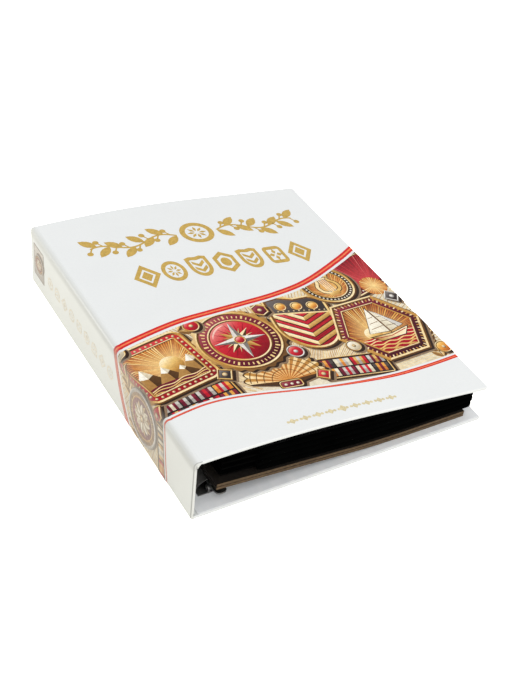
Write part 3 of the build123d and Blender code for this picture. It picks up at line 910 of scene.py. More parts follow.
# Ramps from shade to glint
GOLD = ((0.040, 0.016, 0.005), (0.210, 0.085, 0.018), (0.540, 0.275, 0.060), (0.830, 0.560, 0.190),
        (1.0, 0.88, 0.60))
BRASS = ((0.030, 0.013, 0.006), (0.130, 0.058, 0.018), (0.330, 0.160, 0.045), (0.600, 0.350, 0.110),
         (0.95, 0.76, 0.42))
FLAME = ((0.150, 0.020, 0.008), (0.420, 0.090, 0.018), (0.680, 0.230, 0.035), (0.860, 0.450, 0.090),
         (1.0, 0.76, 0.34))
CRIMSON = ((0.100, 0.002, 0.007), (0.270, 0.005, 0.014), (0.480, 0.009, 0.024), (0.640, 0.030, 0.045),
           (0.93, 0.36, 0.32))
MAROON = ((0.022, 0.003, 0.006), (0.075, 0.005, 0.014), (0.150, 0.010, 0.028), (0.240, 0.022, 0.045),
          (0.52, 0.15, 0.16))
ONYX = ((0.010, 0.007, 0.007), (0.022, 0.015, 0.015), (0.045, 0.033, 0.032), (0.110, 0.090, 0.085),
        (0.42, 0.38, 0.36))
IVORY = ((0.240, 0.170, 0.100), (0.480, 0.390, 0.260), (0.730, 0.650, 0.480), (0.880, 0.820, 0.660),
         (1.0, 0.97, 0.88))
SILVER = ((0.070, 0.060, 0.055), (0.210, 0.190, 0.170), (0.450, 0.420, 0.380), (0.720, 0.690, 0.640),
          (0.96, 0.95, 0.92))

# Single inks
LINE_RED = (0.640, 0.022, 0.026)
LINE_ORANGE = (0.880, 0.210, 0.080)
COVER_GOLD = (0.560, 0.375, 0.095)
SMALL_GOLD = (0.700, 0.610, 0.380)
SPINE_GOLD = (0.900, 0.865, 0.730)
# The grey that the spine's inks are mixed towards: faded print and painted shade
SPINE_FADE_AND_SHADE = (0.520, 0.490, 0.450)
SPINE_FRAME = (0.24, 0.22, 0.20)
PIN_SHADE = (0.030, 0.015, 0.009)
PIN_HALO = (0.270, 0.180, 0.110)
ENAMEL_GLINT = (0.93, 0.60, 0.52)


def tone(ramp, light):
    """An ink between a ramp's shade, 0, and its glint, 1."""
    place = min(max(light, 0.0), 0.999) * (len(ramp) - 1)
    step = int(place)
    return tuple(a + (b - a) * (place - step) for a, b in zip(ramp[step], ramp[step + 1]))


def polar(radius, angle):
    """A point at a radius and an angle from the middle."""
    return (radius * cos(angle), radius * sin(angle))


def one_ink(points, ink):
    """A face of one ink."""
    return [(*point, *ink) for point in points]


def cut(face, across, up, limit):
    """The part of an ink face where across * s + up * y stays within a limit."""
    kept = []
    for i, point in enumerate(face):
        before = face[i - 1]
        past = across * point[0] + up * point[1] - limit
        past_before = across * before[0] + up * before[1] - limit
        if (past <= 0) != (past_before <= 0):
            share = past_before / (past_before - past)
            kept.append(tuple(a + (b - a) * share for a, b in zip(before, point)))
        if past <= 0:
            kept.append(point)
    return kept


def trim(faces, outline):
    """Ink faces cut to a convex outline that runs anticlockwise."""
    for start, end in zip(outline, outline[1:] + outline[:1]):
        run, rise = end[0] - start[0], end[1] - start[1]
        faces = [cut(face, rise, -run, rise * start[0] - run * start[1]) for face in faces]
        faces = [face for face in faces if len(face) > 2]
    return faces


def left_turning(face):
    """The face with its points anticlockwise."""
    area = sum(a[0] * b[1] - b[0] * a[1] for a, b in zip(face, face[1:] + face[:1]))
    return face if area > 0 else face[::-1]


class InkSheet:
    """All the ink faces of one picture. Each lot is laid above whatever it covers."""

    def __init__(self):
        self.faces = []
        self.tops = {}

    def lay(self, faces):
        """Add faces as one lot, one level above the highest lot in any cell that they touch."""
        cells = set()
        for face in faces:
            across = [int(point[0] // INK_CELL) for point in face]
            up = [int(point[1] // INK_CELL) for point in face]
            for i in range(min(across), max(across) + 1):
                cells.update((i, j) for j in range(min(up), max(up) + 1))
        level = 1 + max((self.tops.get(cell, 0) for cell in cells), default=0)
        for cell in cells:
            self.tops[cell] = level
        self.faces += [(level, face) for face in faces]


class Pen:
    """Draws in millimetres about its own place on the wrap, turned and sized."""

    def __init__(self, sheet, s, y, turn=0.0, size=1.0):
        self.sheet = sheet
        self.s = s
        self.y = y
        self.turn = radians(turn)
        self.size = size

    def at(self, across, up):
        """The wrap's own millimetres of a place of this pen."""
        run = (across * cos(self.turn) - up * sin(self.turn)) * self.size
        rise = (across * sin(self.turn) + up * cos(self.turn)) * self.size
        return (self.s + run, self.y + rise)

    def moved(self, across, up, turn=0.0, size=1.0):
        """A pen at a place of this one."""
        s, y = self.at(across, up)
        return Pen(self.sheet, s, y, degrees(self.turn) + turn, self.size * size)

    def placed(self, faces):
        """Faces of this pen in the wrap's own millimetres."""
        return [[(*self.at(point[0], point[1]), *point[2:]) for point in face] for face in faces]

    def lay(self, faces):
        """Lay faces of this pen on its sheet."""
        self.sheet.lay(self.placed(faces))

    def lit(self, angle, gain=0.42):
        """The brightness of a slope that faces an angle. The light is at the upper left."""
        return 0.5 + gain * cos(angle + self.turn - LIGHT_ANGLE)


# Outlines, anticlockwise

def even_sides(count, radius, turn=0.0):
    """An even-sided outline with its first corner at a turn from the right."""
    return [polar(radius, radians(turn) + 2 * pi * i / count) for i in range(count)]


def circle(radius, sides=48):
    """A circle."""
    return even_sides(sides, radius)


def scallops(radius, depth, count):
    """A circle with round scallops."""
    sides = count * 6
    return [polar(radius + depth * cos(2 * pi * i * count / sides), 2 * pi * i / sides) for i in range(sides)]


def box_corners(left, low, right, top):
    """A rectangle with sharp corners."""
    return [(left, low), (right, low), (right, top), (left, top)]


def rounded_box(width, height, corner, sides=6):
    """A rectangle with round corners."""
    outline = []
    for quarter, (across, up) in enumerate(((1, 1), (-1, 1), (-1, -1), (1, -1))):
        middle = (across * (width / 2 - corner), up * (height / 2 - corner))
        for i in range(sides + 1):
            step = polar(corner, (quarter + i / sides) * pi / 2)
            outline.append((middle[0] + step[0], middle[1] + step[1]))
    return outline


def shield_outline(width, height):
    """A shield with a low point in its top edge and a pointed foot."""
    sides = 10
    right = []
    for i in range(sides + 1):
        swing = i / sides * pi / 2
        right.append((width / 2 * sin(swing), -height / 2 + height * 0.5 * (1 - cos(swing))))
    right.append((width / 2, height * 0.44))
    left = [(-across, up) for across, up in reversed(right[1:])]
    return right + [(width * 0.25, height * 0.5), (0.0, height * 0.46), (-width * 0.25, height * 0.5)] + left


def inset(outline, width):
    """A closed outline moved inwards, corner by corner."""
    moved = []
    for i, (across, up) in enumerate(outline):
        before = Vector(outline[i]) - Vector(outline[i - 1])
        after = Vector(outline[(i + 1) % len(outline)]) - Vector(outline[i])
        first = Vector((-before.y, before.x)).normalized()
        second = Vector((-after.y, after.x)).normalized()
        middle = (first + second).normalized()
        reach = width / max(middle.dot(first), 0.4)
        moved.append((across + middle.x * reach, up + middle.y * reach))
    return moved


def spaced(outline, pitch):
    """Even places along a closed outline, about a pitch apart."""
    corners = [Vector(point) for point in outline + outline[:1]]
    lengths = [(b - a).length for a, b in zip(corners, corners[1:])]
    count = max(1, round(sum(lengths) / pitch))
    places = []
    travelled = 0.0
    edge = 0
    for i in range(count):
        target = sum(lengths) * i / count
        while travelled + lengths[edge] < target:
            travelled += lengths[edge]
            edge += 1
        share = (target - travelled) / lengths[edge]
        places.append(tuple(corners[edge].lerp(corners[edge + 1], share)))
    return places


# Lines

def arc_points(radius, start, end, count):
    """Points on an arc between two angles in degrees."""
    return [polar(radius, radians(start + (end - start) * i / count)) for i in range(count + 1)]


def wave(start, end, level, height, bend, shift=0.0, pitch=2):
    """Points on a wavy line about a level."""
    return [(x, level + height * sin(x * bend + shift)) for x in range(start, end + 1, pitch)]


def smooth_line(points):
    """A smooth line through some points, with four steps between each two."""
    places = [Vector(point) for point in points]
    smooth = []
    last = len(places) - 1
    for i in range(last):
        before, start, end, after = (places[min(max(k, 0), last)] for k in (i - 1, i, i + 1, i + 2))
        for share in (0.0, 0.25, 0.5, 0.75):
            bend = (2 * start + (end - before) * share
                    + (2 * before - 5 * start + 4 * end - after) * share ** 2
                    + (3 * start - before - 3 * end + after) * share ** 3)
            smooth.append(tuple(bend / 2))
    return smooth + [tuple(places[-1])]


def line_faces(points, width, ink, taper=False):
    """Ink faces of a line through some points. A tapered line is thin at both ends."""
    places = [Vector(point) for point in points]
    last = len(places) - 1
    sides = []
    for i, place in enumerate(places):
        run = places[min(i + 1, last)] - places[max(i - 1, 0)]
        normal = Vector((-run.y, run.x)).normalized()
        half = width / 2 * (sin(pi * (0.06 + 0.88 * i / last)) if taper else 1.0)
        sides.append(((*(place - normal * half), *ink), (*(place + normal * half), *ink)))
    return [[a[0], b[0], b[1], a[1]] for a, b in zip(sides, sides[1:])]


# Strokes of the pen

def stroke(pen, points, width, ink, taper=False):
    """One line of ink."""
    pen.lay(line_faces(points, width, ink, taper))


def fill(pen, outline, shade, centre=(0.0, 0.0), rings=(1.0,)):
    """Ink a star-shaped outline in rings about its centre. shade gives the ink at a point."""
    faces = []
    inner = None
    for share in rings:
        inked = []
        for x, y in outline:
            point = (centre[0] + (x - centre[0]) * share, centre[1] + (y - centre[1]) * share)
            inked.append((*point, *shade(*point)))
        for i, point in enumerate(inked):
            if inner:
                faces.append([inner[i - 1], inner[i], point, inked[i - 1]][::-1])
            else:
                faces.append([(*centre, *shade(*centre)), inked[i - 1], point])
        inner = inked
    pen.lay(faces)


def plain(ink):
    """A shade that is one ink all over."""
    return lambda across, up: ink


def polished(pen, ramp, reach, base, gain):
    """A shade that is bright towards the light and dark away from it, as on a dome."""
    def shade(across, up):
        distance = min(1.0, hypot(across, up) / reach)
        return tone(ramp, base + (pen.lit(atan2(up, across), gain) - 0.5) * distance)
    return shade


def enamel(pen, outline, ramp, reach, base=0.5, gain=0.34, **layout):
    """Fill an outline as a glossy dome."""
    fill(pen, outline, polished(pen, ramp, reach, base, gain), **layout)


def rim(pen, outline, width, ramp):
    """A raised rim with an outer and an inner slope. Gives the outline inside it."""
    faces = []
    for start, end, facing in ((0.0, 0.45, 0.0), (0.45, 1.0, pi)):
        outer = inset(outline, width * start)
        inner = inset(outline, width * end)
        for i in range(len(outline)):
            run, rise = outer[i][0] - outer[i - 1][0], outer[i][1] - outer[i - 1][1]
            ink = tone(ramp, pen.lit(atan2(-run, rise) + facing))
            faces.append(one_ink((outer[i - 1], outer[i], inner[i], inner[i - 1]), ink))
    pen.lay(faces)
    return inset(outline, width)


def cast_shadow(pen, outline):
    """The pin's shadow on what lies under it, to the lower right."""
    for ink, fall, grow in ((PIN_HALO, 2.4, -0.5), (PIN_SHADE, 1.5, 0.0)):
        fallen = Pen(pen.sheet, pen.s + fall, pen.y - fall, degrees(pen.turn), pen.size)
        fill(fallen, inset(outline, grow), plain(ink))


def raised(pen, outline, width, metal):
    """A pin's shadow and its metal rim. Gives the outline inside the rim."""
    cast_shadow(pen, outline)
    return rim(pen, outline, width, metal)


def beads(pen, places, radius, ramp, sides=8):
    """Small round studs, each with a bright spot towards the light."""
    faces = []
    spot = polar(radius * 0.35, LIGHT_ANGLE - pen.turn)
    for across, up in places:
        top = (across + spot[0], up + spot[1], *tone(ramp, 0.98))
        edge = []
        for i in range(sides):
            angle = 2 * pi * i / sides
            step = polar(radius, angle)
            edge.append((across + step[0], up + step[1], *tone(ramp, pen.lit(angle, 0.36) - 0.12)))
        faces += [[top, edge[i - 1], edge[i]] for i in range(sides)]
    pen.lay(faces)


def burst(pen, outline, count, ramp, centre=(0.0, 0.0), low=0.2, high=0.85):
    """Engraved rays from a centre out to an outline, one ray for each stretch of the outline."""
    places = spaced(outline, 1.0)
    count = min(count, len(places))
    corners = [places[i * len(places) // count] for i in range(count)]
    faces = []
    middle = (*centre, *tone(ramp, high))
    for i, corner in enumerate(corners):
        before = corners[i - 1]
        half = ((before[0] + corner[0]) / 2, (before[1] + corner[1]) / 2)
        light = low + (high - low) * CHANCE.random()
        faces.append([middle, (*before, *tone(ramp, light)), (*half, *tone(ramp, light + 0.12))])
        faces.append([middle, (*half, *tone(ramp, low * 0.6)), (*corner, *tone(ramp, low))])
    pen.lay(faces)


def facets(pen, points, reach, waist, ramp, turn=90.0):
    """Pointed rays about a centre, each with a lit and a shaded side."""
    faces = []
    for i in range(points):
        angle = radians(turn) + 2 * pi * i / points
        for side in (-1, 1):
            foot = polar(waist, angle + side * pi / points)
            ink = tone(ramp, pen.lit(angle + side * pi / 2, 0.44))
            faces.append(one_ink(((0.0, 0.0), polar(reach, angle), foot)[::side], ink))
    pen.lay(faces)


def crescent(pen, radius, start, end):
    """A pale crescent of reflected light on enamel."""
    turn = degrees(pen.turn)
    stroke(pen, arc_points(radius, start - turn, end - turn, 10), 1.3, ENAMEL_GLINT, taper=True)


# Leaves

LEAF_STEPS = 5
LEAF_PITCH = 6
LEAF_SPREAD = 38.0


def leaf_faces(pen, length, width, ramp):
    """A leaf along the pen's first axis, with a lit and a shaded half that pale towards the edge."""
    faces = []
    for side in (-1, 1):
        edge = []
        for i in range(LEAF_STEPS + 1):
            share = i / LEAF_STEPS
            edge.append((length * share, side * width / 2 * sin(pi * share) ** 0.8))
        light = pen.lit(side * pi / 2, 0.34)
        inner, outer = tone(ramp, light - 0.10), tone(ramp, light + 0.14)
        for near, far in zip(edge, edge[1:]):
            face = [(near[0], 0.0, *inner), (far[0], 0.0, *inner), (*far, *outer), (*near, *outer)]
            faces.append(face[::side])
    return faces


def leaves(pen, reach, sway, bend, length, width, ramp):
    """Pairs of leaves along a wavy stem, with a leaf at its tip."""
    stem = wave(0, reach, 0.0, sway, bend, pitch=LEAF_PITCH)
    stroke(pen, stem, 0.7, tone(ramp, 0.25))
    for first in (0, 1):
        faces = []
        for i in range(first, len(stem), 2):
            run = Vector(stem[max(i, 1)]) - Vector(stem[max(i, 1) - 1])
            heading = degrees(atan2(run.y, run.x))
            for side in ((-1, 1) if i < len(stem) - 1 else (0,)):
                twig = pen.moved(*stem[i], turn=heading + side * LEAF_SPREAD)
                faces += twig.placed(leaf_faces(twig, length, width, ramp))
        pen.sheet.lay(faces)


# Motifs of the picture: made-up pins and plaques

def mountain_plaque(pen):
    """A square plaque: a sunrise behind mountains, framed in studs."""
    inner = raised(pen, rounded_box(60, 56, 9), 3.0, GOLD)
    enamel(pen, inner, CRIMSON, 34, rings=(0.6, 1.0))
    beads(pen, spaced(inset(inner, 1.9), 4.4), 1.15, GOLD)
    field = rim(pen, inset(inner, 3.6), 1.5, GOLD)
    burst(pen, field, 84, FLAME, centre=(5, -4), high=0.95)
    enamel(pen.moved(5, -1), circle(8.5, 28), GOLD, 8.5, base=0.66, rings=(0.5, 1.0))
    foot = -17.0
    mountains = ((-17, 6, 15, 0.36), (19, 3, 15, 0.3), (-3, 1, 12, 0.3), (9, -4, 11, 0.25))
    for across, top, half, snow in mountains:
        for ramp, share, sag, lit, shaded in ((BRASS, 1.0, 0.0, 0.62, 0.20), (IVORY, snow, 2.0, 0.97, 0.50)):
            low = top - (top - foot) * share
            slopes = []
            for side, light in ((-1, lit), (1, shaded)):
                ridge = (across + 1.5 * share, low - sag, *tone(ramp, light - 0.12))
                edge = (across + side * half * share, low, *tone(ramp, light))
                slopes.append(left_turning([(across, top, *tone(ramp, light)), ridge, edge]))
            pen.lay(trim(slopes, field))
    meadow = [(-40, -30), (40, -30), (40, -13), (12, -15.5), (-12, -13), (-40, -16)]
    pen.lay(trim([one_ink(meadow, tone(MAROON, 0.5))], field))
    furrows = []
    for row in range(5):
        line = wave(-28, 28, -15.5 - row * 2.2, 0.8, 0.35, row)
        furrows += line_faces(line, 0.8, tone(GOLD, 0.85 - row * 0.1))
    pen.lay(trim(furrows, field))


def compass_medal(pen):
    """A round medal with a compass rose on enamel."""
    outline = scallops(33, 1.0, 24)
    cast_shadow(pen, outline)
    enamel(pen, outline, BRASS, 34, base=0.6, rings=(0.8, 1.0))
    inner = rim(pen, circle(31, 64), 2.6, GOLD)
    enamel(pen, inner, MAROON, 28, base=0.55, rings=(0.7, 1.0))
    ticks = []
    for i in range(48):
        angle = 2 * pi * i / 48
        far, width = (26.6, 0.9) if i % 4 else (27.6, 1.5)
        ticks += line_faces([polar(24.2, angle), polar(far, angle)], width, tone(GOLD, 0.8))
    pen.lay(ticks)
    dial = rim(pen, circle(22.6, 56), 2.0, GOLD)
    enamel(pen, dial, CRIMSON, 21, base=0.55, gain=0.4, rings=(0.5, 1.0))
    swirl = []
    for i in range(16):
        angle = i * pi / 8
        line = [polar(6, angle), polar(12, angle + 0.16), polar(19, angle + 0.2)]
        swirl += line_faces(line, 0.7, tone(CRIMSON, 0.2), taper=True)
    pen.lay(swirl)
    facets(pen, 8, 13.5, 4.2, BRASS, turn=112.5)
    facets(pen, 4, 15.5, 4.6, GOLD, turn=135)
    facets(pen, 4, 20.0, 5.0, SILVER)
    rim(pen, circle(4.4, 24), 1.2, GOLD)
    enamel(pen, circle(3.2, 20), CRIMSON, 3.2, base=0.62, gain=0.46)
    crescent(pen, 18.6, 100, 160)


def chevron_shield(pen):
    """A shield with gold chevrons below a dark chief with three studs."""
    inner = raised(pen, shield_outline(50, 62), 3.2, GOLD)
    enamel(pen, inner, CRIMSON, 32, base=0.58, centre=(0, 4), rings=(0.55, 1.0))
    chief_foot = 10.5
    half, climb = 24, 16
    field = cut(inner, 0, 1, chief_foot)
    engraving = []
    for row in range(12):
        low = -46.0 + row * 5.2
        for side in (-1, 1):
            engraving += line_faces([(0.0, low), (side * half, low + climb)], 0.55, tone(CRIMSON, 0.16))
    pen.lay(trim(engraving, field))
    for ramp, start, wide, gain in ((MAROON, -0.9, 6.0, 0.0), (GOLD, 0.0, 4.2, 1.0)):
        bars = []
        for row in range(4):
            low = -27.0 + row * 9.4 + start
            for side in (-1, 1):
                light = (0.95 if side < 0 else 0.58) * gain + 0.1
                dark, bright = tone(ramp, light - 0.25), tone(ramp, light)
                bar = [(0.0, low, *dark), (side * half, low + climb, *dark),
                       (side * half, low + climb + wide, *bright), (0.0, low + wide, *bright)]
                bars.append(left_turning(bar))
        pen.lay(trim(bars, field))
    enamel(pen, cut(inner, 0, -1, -chief_foot), ONYX, 30, base=0.45, centre=(0, 16))
    stroke(pen, [(-21.6, chief_foot), (21.6, chief_foot)], 1.5, tone(GOLD, 0.85))
    for across in (-12.5, 0, 12.5):
        stud = pen.moved(across, 18.6)
        ring = rim(stud, circle(4.8, 24), 1.3, GOLD)
        enamel(stud, ring, FLAME, 3.6, base=0.7, gain=0.5)
    beads(pen, [(x, chief_foot + 2.6) for x in range(-20, 21, 4)], 0.8, GOLD)


def sailing_hexagon(pen):
    """A hexagonal plaque: a boat under a low sun, on engraved waves."""
    inner = raised(pen, even_sides(6, 42), 3.4, GOLD)
    enamel(pen, inner, MAROON, 38, base=0.42, rings=(0.8, 1.0))
    notches = []
    for i, (across, up) in enumerate(spaced(inset(inner, 2.2), 3.4)):
        step = polar(2.6, atan2(up, across))
        notch = [(across, up), (across + step[0], up + step[1])]
        notches += line_faces(notch, 1.1, tone(GOLD, 0.5 + 0.4 * (i % 2)))
    pen.lay(notches)
    field = rim(pen, inset(inner, 4.6), 1.6, GOLD)
    burst(pen, field, 96, FLAME, centre=(-11, -9), low=0.04, high=0.90)
    enamel(pen.moved(-11, -5), circle(7.5, 28), GOLD, 7.5, base=0.75, rings=(0.5, 1.0))
    deep, shallow = tone(CRIMSON, 0.22), tone(CRIMSON, 0.5)
    sea = [(-45, -40, *deep), (45, -40, *deep), (45, -9, *shallow), (-45, -9, *shallow)]
    pen.lay(trim([sea], field))
    swell = []
    for row in range(7):
        line = wave(-38, 38, -10.5 - row * 3.2, 0.6 + 0.12 * row, 0.42, row * 1.9)
        swell += line_faces(line, 0.9 + 0.12 * row, tone(GOLD, 0.9 - row * 0.06))
    pen.lay(trim(swell, field))
    sails = (
        ([(4.0, -6.5), (4.0, 24.0), (-13.5, -4.0)], IVORY, 0.92, 0.70),
        ([(5.4, -6.5), (19.0, -3.2), (5.4, 21.0)], IVORY, 0.80, 0.45),
        ([(20.2, -3.4), (7.4, 19.0), (15.0, -4.6)], SILVER, 0.85, 0.60),
    )
    for corners, ramp, bright, dull in sails:
        stroke(pen, corners + corners[:1], 1.5, tone(BRASS, 0.22))
        inks = (tone(ramp, dull), tone(ramp, bright), tone(ramp, bright - 0.1))
        pen.lay([left_turning([(*corner, *ink) for corner, ink in zip(corners, inks)])])
    battens = []
    for up in (1.0, 7.0, 13.0):
        battens += line_faces([(3.4, up), (3.4 - (24 - up) * 0.52, up - 1.0)], 0.5, tone(BRASS, 0.4))
        battens += line_faces([(6.0, up - 1), (5.6 + (20 - up) * 0.5, up - 2.0)], 0.5, tone(BRASS, 0.3))
    pen.lay(battens)
    hull = [(-15, -8.2), (-10, -14.2), (14, -14.2), (22, -6.8), (4, -9.6)]
    hull_middle = (2, -11.5)
    fill(pen, inset(hull, -0.8), plain(tone(ONYX, 0.3)), hull_middle)
    fill(pen, hull, lambda across, up: tone(GOLD, 0.35 + 0.03 * (across + 15)), hull_middle)
    stroke(pen, [(-13, -10.2), (2, -11.8), (19, -8.6)], 0.8, tone(CRIMSON, 0.4))
    stroke(pen, [(4.6, -9.6), (4.6, 25.5)], 1.0, tone(BRASS, 0.3))


def shell_brooch(pen):
    """A scallop shell: gold ribs that fan out from a hinge, crossed by growth lines."""
    reach, ribs = 31.0, 13
    fan = []
    for rib in range(ribs):
        for share, grow in ((0.0, 0.92), (0.25, 0.99), (0.5, 1.02), (0.75, 0.99)):
            fan.append(polar(reach * grow, radians(6 + 168 * (rib + share) / ribs)))
    fan.append(polar(reach * 0.92, radians(174)))
    outline = fan + [(-9.0, -2.5), (-7.0, -8.0), (7.0, -8.0), (9.0, -2.5)]
    cast_shadow(pen, outline)
    fill(pen, outline, plain(tone(BRASS, 0.12)))
    for side, light in ((2, 0.84), (0, 0.44)):
        near_ink, hinge_ink, far_ink = tone(GOLD, light), tone(FLAME, light - 0.16), tone(GOLD, light + 0.1)
        faces = []
        for rib in range(ribs):
            edge = [(x * 0.965, y * 0.965) for x, y in fan[rib * 4 + side:rib * 4 + side + 3]]
            for near, far in zip(edge, edge[1:]):
                faces.append([(0.0, 0.0, *hinge_ink), (*near, *near_ink), (*far, *far_ink)])
        pen.lay(faces)
    for share, width in ((0.38, 0.5), (0.56, 0.6), (0.72, 0.7), (0.86, 0.7)):
        stroke(pen, arc_points(reach * share, 8, 172, 36), width, tone(BRASS, 0.26))
    hinge = pen.moved(0, -3.4)
    foot = rounded_box(17, 7.6, 2.6, 4)
    fill(hinge, inset(foot, -0.7), plain(PIN_SHADE))
    enamel(hinge, rim(hinge, foot, 1.2, GOLD), MAROON, 8, base=0.6)
    beads(hinge, [(-4.4, 0), (0, 0), (4.4, 0)], 1.2, IVORY)


def ribbon_plaque(pen, columns, rows):
    """Rows of striped ribbon bars on a dark backing with a thin gold edge."""
    wide, high = 13.0, 9.4
    outline = rounded_box(columns * wide + 4, rows * high + 3.6, 1.6, 3)
    fill(pen, raised(pen, outline, 1.3, GOLD), plain(tone(ONYX, 0.2)))
    stripes = []
    for row in range(rows):
        for column in range(columns):
            x, y = (column - (columns - 1) / 2) * wide, (row - (rows - 1) / 2) * high
            outer, inside, core = CHANCE.sample((CRIMSON, GOLD, IVORY, MAROON, FLAME, ONYX, SILVER), 3)
            for start, end, ramp in ((-6, -3.4, outer), (-3.4, -1.2, inside), (-1.2, 1.2, core),
                                     (1.2, 3.4, inside), (3.4, 6, outer)):
                for low, top, light in ((-4, 0, 0.45), (0, 4, 0.66)):
                    stripe = box_corners(x + start, y + low, x + end, y + top)
                    stripes.append(one_ink(stripe, tone(ramp, light)))
    pen.lay(stripes)


def flower_medal(pen):
    """A round silver medal with an eight-petalled flower."""
    radius = 21.0
    inner = raised(pen, circle(radius, 56), 2.6, SILVER)
    burst(pen, inner, 64, BRASS, low=0.3, high=0.7)
    field = rim(pen, circle(radius * 0.76, 48), 1.4, GOLD)
    enamel(pen, field, MAROON, radius, base=0.6, rings=(0.5, 1.0))
    for ramp, turn, share in ((BRASS, 22.5, 0.50), (IVORY, 0.0, 0.44)):
        faces = []
        for i in range(8):
            petal = pen.moved(*polar(radius * 0.12, radians(turn + i * 45)), turn=turn + i * 45)
            faces += petal.placed(leaf_faces(petal, radius * share, radius * 0.25, ramp))
        pen.sheet.lay(faces)
    beads(pen, [(0, 0)], radius * 0.13, GOLD, 14)


def lyre_medal(pen):
    """A round medal with a lyre before engraved rays."""
    raised(pen, circle(25, 60), 3.0, GOLD)
    beads(pen, spaced(circle(20.4, 48), 3.2), 1.0, IVORY)
    field = rim(pen, circle(18.6, 48), 1.5, GOLD)
    burst(pen, field, 56, FLAME, centre=(0, -12), low=0.2)
    for width, ramp, light in ((4.2, BRASS, 0.05), (2.8, GOLD, 0.88)):
        frame_faces = []
        for side in (-1, 1):
            arm = [(side * 1.5, -11), (side * 8, -8), (side * 9.5, -1), (side * 5.6, 6), (side * 8.4, 12.5)]
            frame_faces += line_faces(smooth_line(arm), width, tone(ramp, light - 0.2 * (side > 0)))
        frame_faces += line_faces([(-7.6, 8.2), (7.6, 8.2)], width * 0.7, tone(ramp, light))
        pen.lay(frame_faces)
    strings = []
    for across in (-3, -1, 1, 3):
        strings += line_faces([(across, -9.5), (across, 8)], 0.5, tone(IVORY, 0.9))
    pen.lay(strings)
    enamel(pen.moved(0, -12.4), rounded_box(11, 3.6, 1.5, 3), GOLD, 6, base=0.6)


def ray_plate(pen):
    """A plate of engraved rays with a dark beaded border."""
    inner = raised(pen, rounded_box(60, 46, 8.5), 2.2, GOLD)
    fill(pen, inner, plain(tone(MAROON, 0.4)))
    beads(pen, spaced(inset(inner, 1.9), 3.6), 0.95, IVORY)
    field = rim(pen, inset(inner, 3.6), 1.3, GOLD)
    burst(pen, field, 90, CRIMSON, centre=(-2, -19), low=0.05, high=0.78)
    burst(pen.moved(-2, -19), circle(11, 30), 40, FLAME, low=0.3, high=0.95)


def small_pin(pen, sides, reach, ramp, metal):
    """A small enamel pin with a bright stud in its middle."""
    inner = raised(pen, even_sides(sides, reach), reach * 0.2, metal)
    enamel(pen, inner, ramp, reach, base=0.58, gain=0.44, rings=(0.5, 1.0))
    beads(pen, [(0, 0)], reach * 0.26, metal, 12)


# The small pins: place, turn, sides, reach, enamel and metal
SMALL_PINS = (
    (50, 66, 20, 4, 7.5, ONYX, GOLD),
    (108, 72, 0, 28, 6.5, CRIMSON, SILVER),
    (107, 121, 30, 6, 7, MAROON, GOLD),
    (114, 45, 15, 4, 7, CRIMSON, GOLD),
    (152, 66, 0, 28, 6, IVORY, BRASS),
    (52, 120, 0, 28, 6.4, CRIMSON, GOLD),
    (216, 112, 12, 4, 8, ONYX, SILVER),
    (218, 48, 0, 28, 6.5, FLAME, GOLD),
    (-9, 52, 25, 4, 8, CRIMSON, GOLD),
    (-6, 112, 0, 28, 5.5, IVORY, GOLD),
)


def background():
    """Cream paper with fine golden rays behind the pins."""
    pen = Pen(PICTURE, 95, 20)
    square = 10
    paper = []
    for start in range(-160, 131, square):
        for low in range(0, 171, square):
            ink = tone(IVORY, 0.46 + 0.16 * CHANCE.random())
            paper.append(one_ink(box_corners(start, low, start + square, low + square), ink))
    pen.lay(paper)
    count = 150
    rays = []
    for i in range(count):
        angle = radians(2 + 176 * i / (count - 1))
        reach = 190 - 30 * CHANCE.random()
        light = 0.35 + 0.5 * CHANCE.random()
        start, end = polar(36 + 14 * CHANCE.random(), angle), polar(reach, angle)
        rays += line_faces([start, end], 0.5, tone(GOLD, light))
    pen.lay(rays)


def picture():
    """The collage of pins, from the joint to the fore edge."""
    background()
    ribbon_plaque(Pen(PICTURE, 24, 49, turn=6), columns=4, rows=2)
    leaves(Pen(PICTURE, 41, 118, turn=-8), reach=36, sway=2.2, bend=0.16, length=11, width=4.6, ramp=BRASS)
    leaves(Pen(PICTURE, 102, 128, turn=16), reach=30, sway=1.5, bend=0.2, length=10, width=4.4, ramp=GOLD)
    leaves(Pen(PICTURE, 212, 38, turn=84), reach=48, sway=2, bend=0.12, length=10, width=4.6, ramp=BRASS)
    ribbon_plaque(Pen(PICTURE, 140, 47, turn=-5), columns=4, rows=2)
    mountain_plaque(Pen(PICTURE, 17, 88, turn=11))
    shell_brooch(Pen(PICTURE, 88, 46, turn=-4))
    compass_medal(Pen(PICTURE, 77, 95))
    chevron_shield(Pen(PICTURE, 133, 100, turn=-9))
    ray_plate(Pen(PICTURE, 205, 146, turn=20))
    lyre_medal(Pen(PICTURE, 173, 137, turn=8, size=0.92))
    sailing_hexagon(Pen(PICTURE, 184, 80, turn=8, size=0.94))
    for s, y, turn, *looks in SMALL_PINS:
        small_pin(Pen(PICTURE, s, y, turn), *looks)
    leaves(Pen(PICTURE, -52, 78, turn=24), reach=42, sway=2, bend=0.2, length=11, width=5.0, ramp=GOLD)
    ribbon_plaque(Pen(PICTURE, -34, 43, turn=9), columns=3, rows=1)
    flower_medal(Pen(PICTURE, -29, 72, turn=5))


# The picture's band: a smooth top and foot edge, each with its line

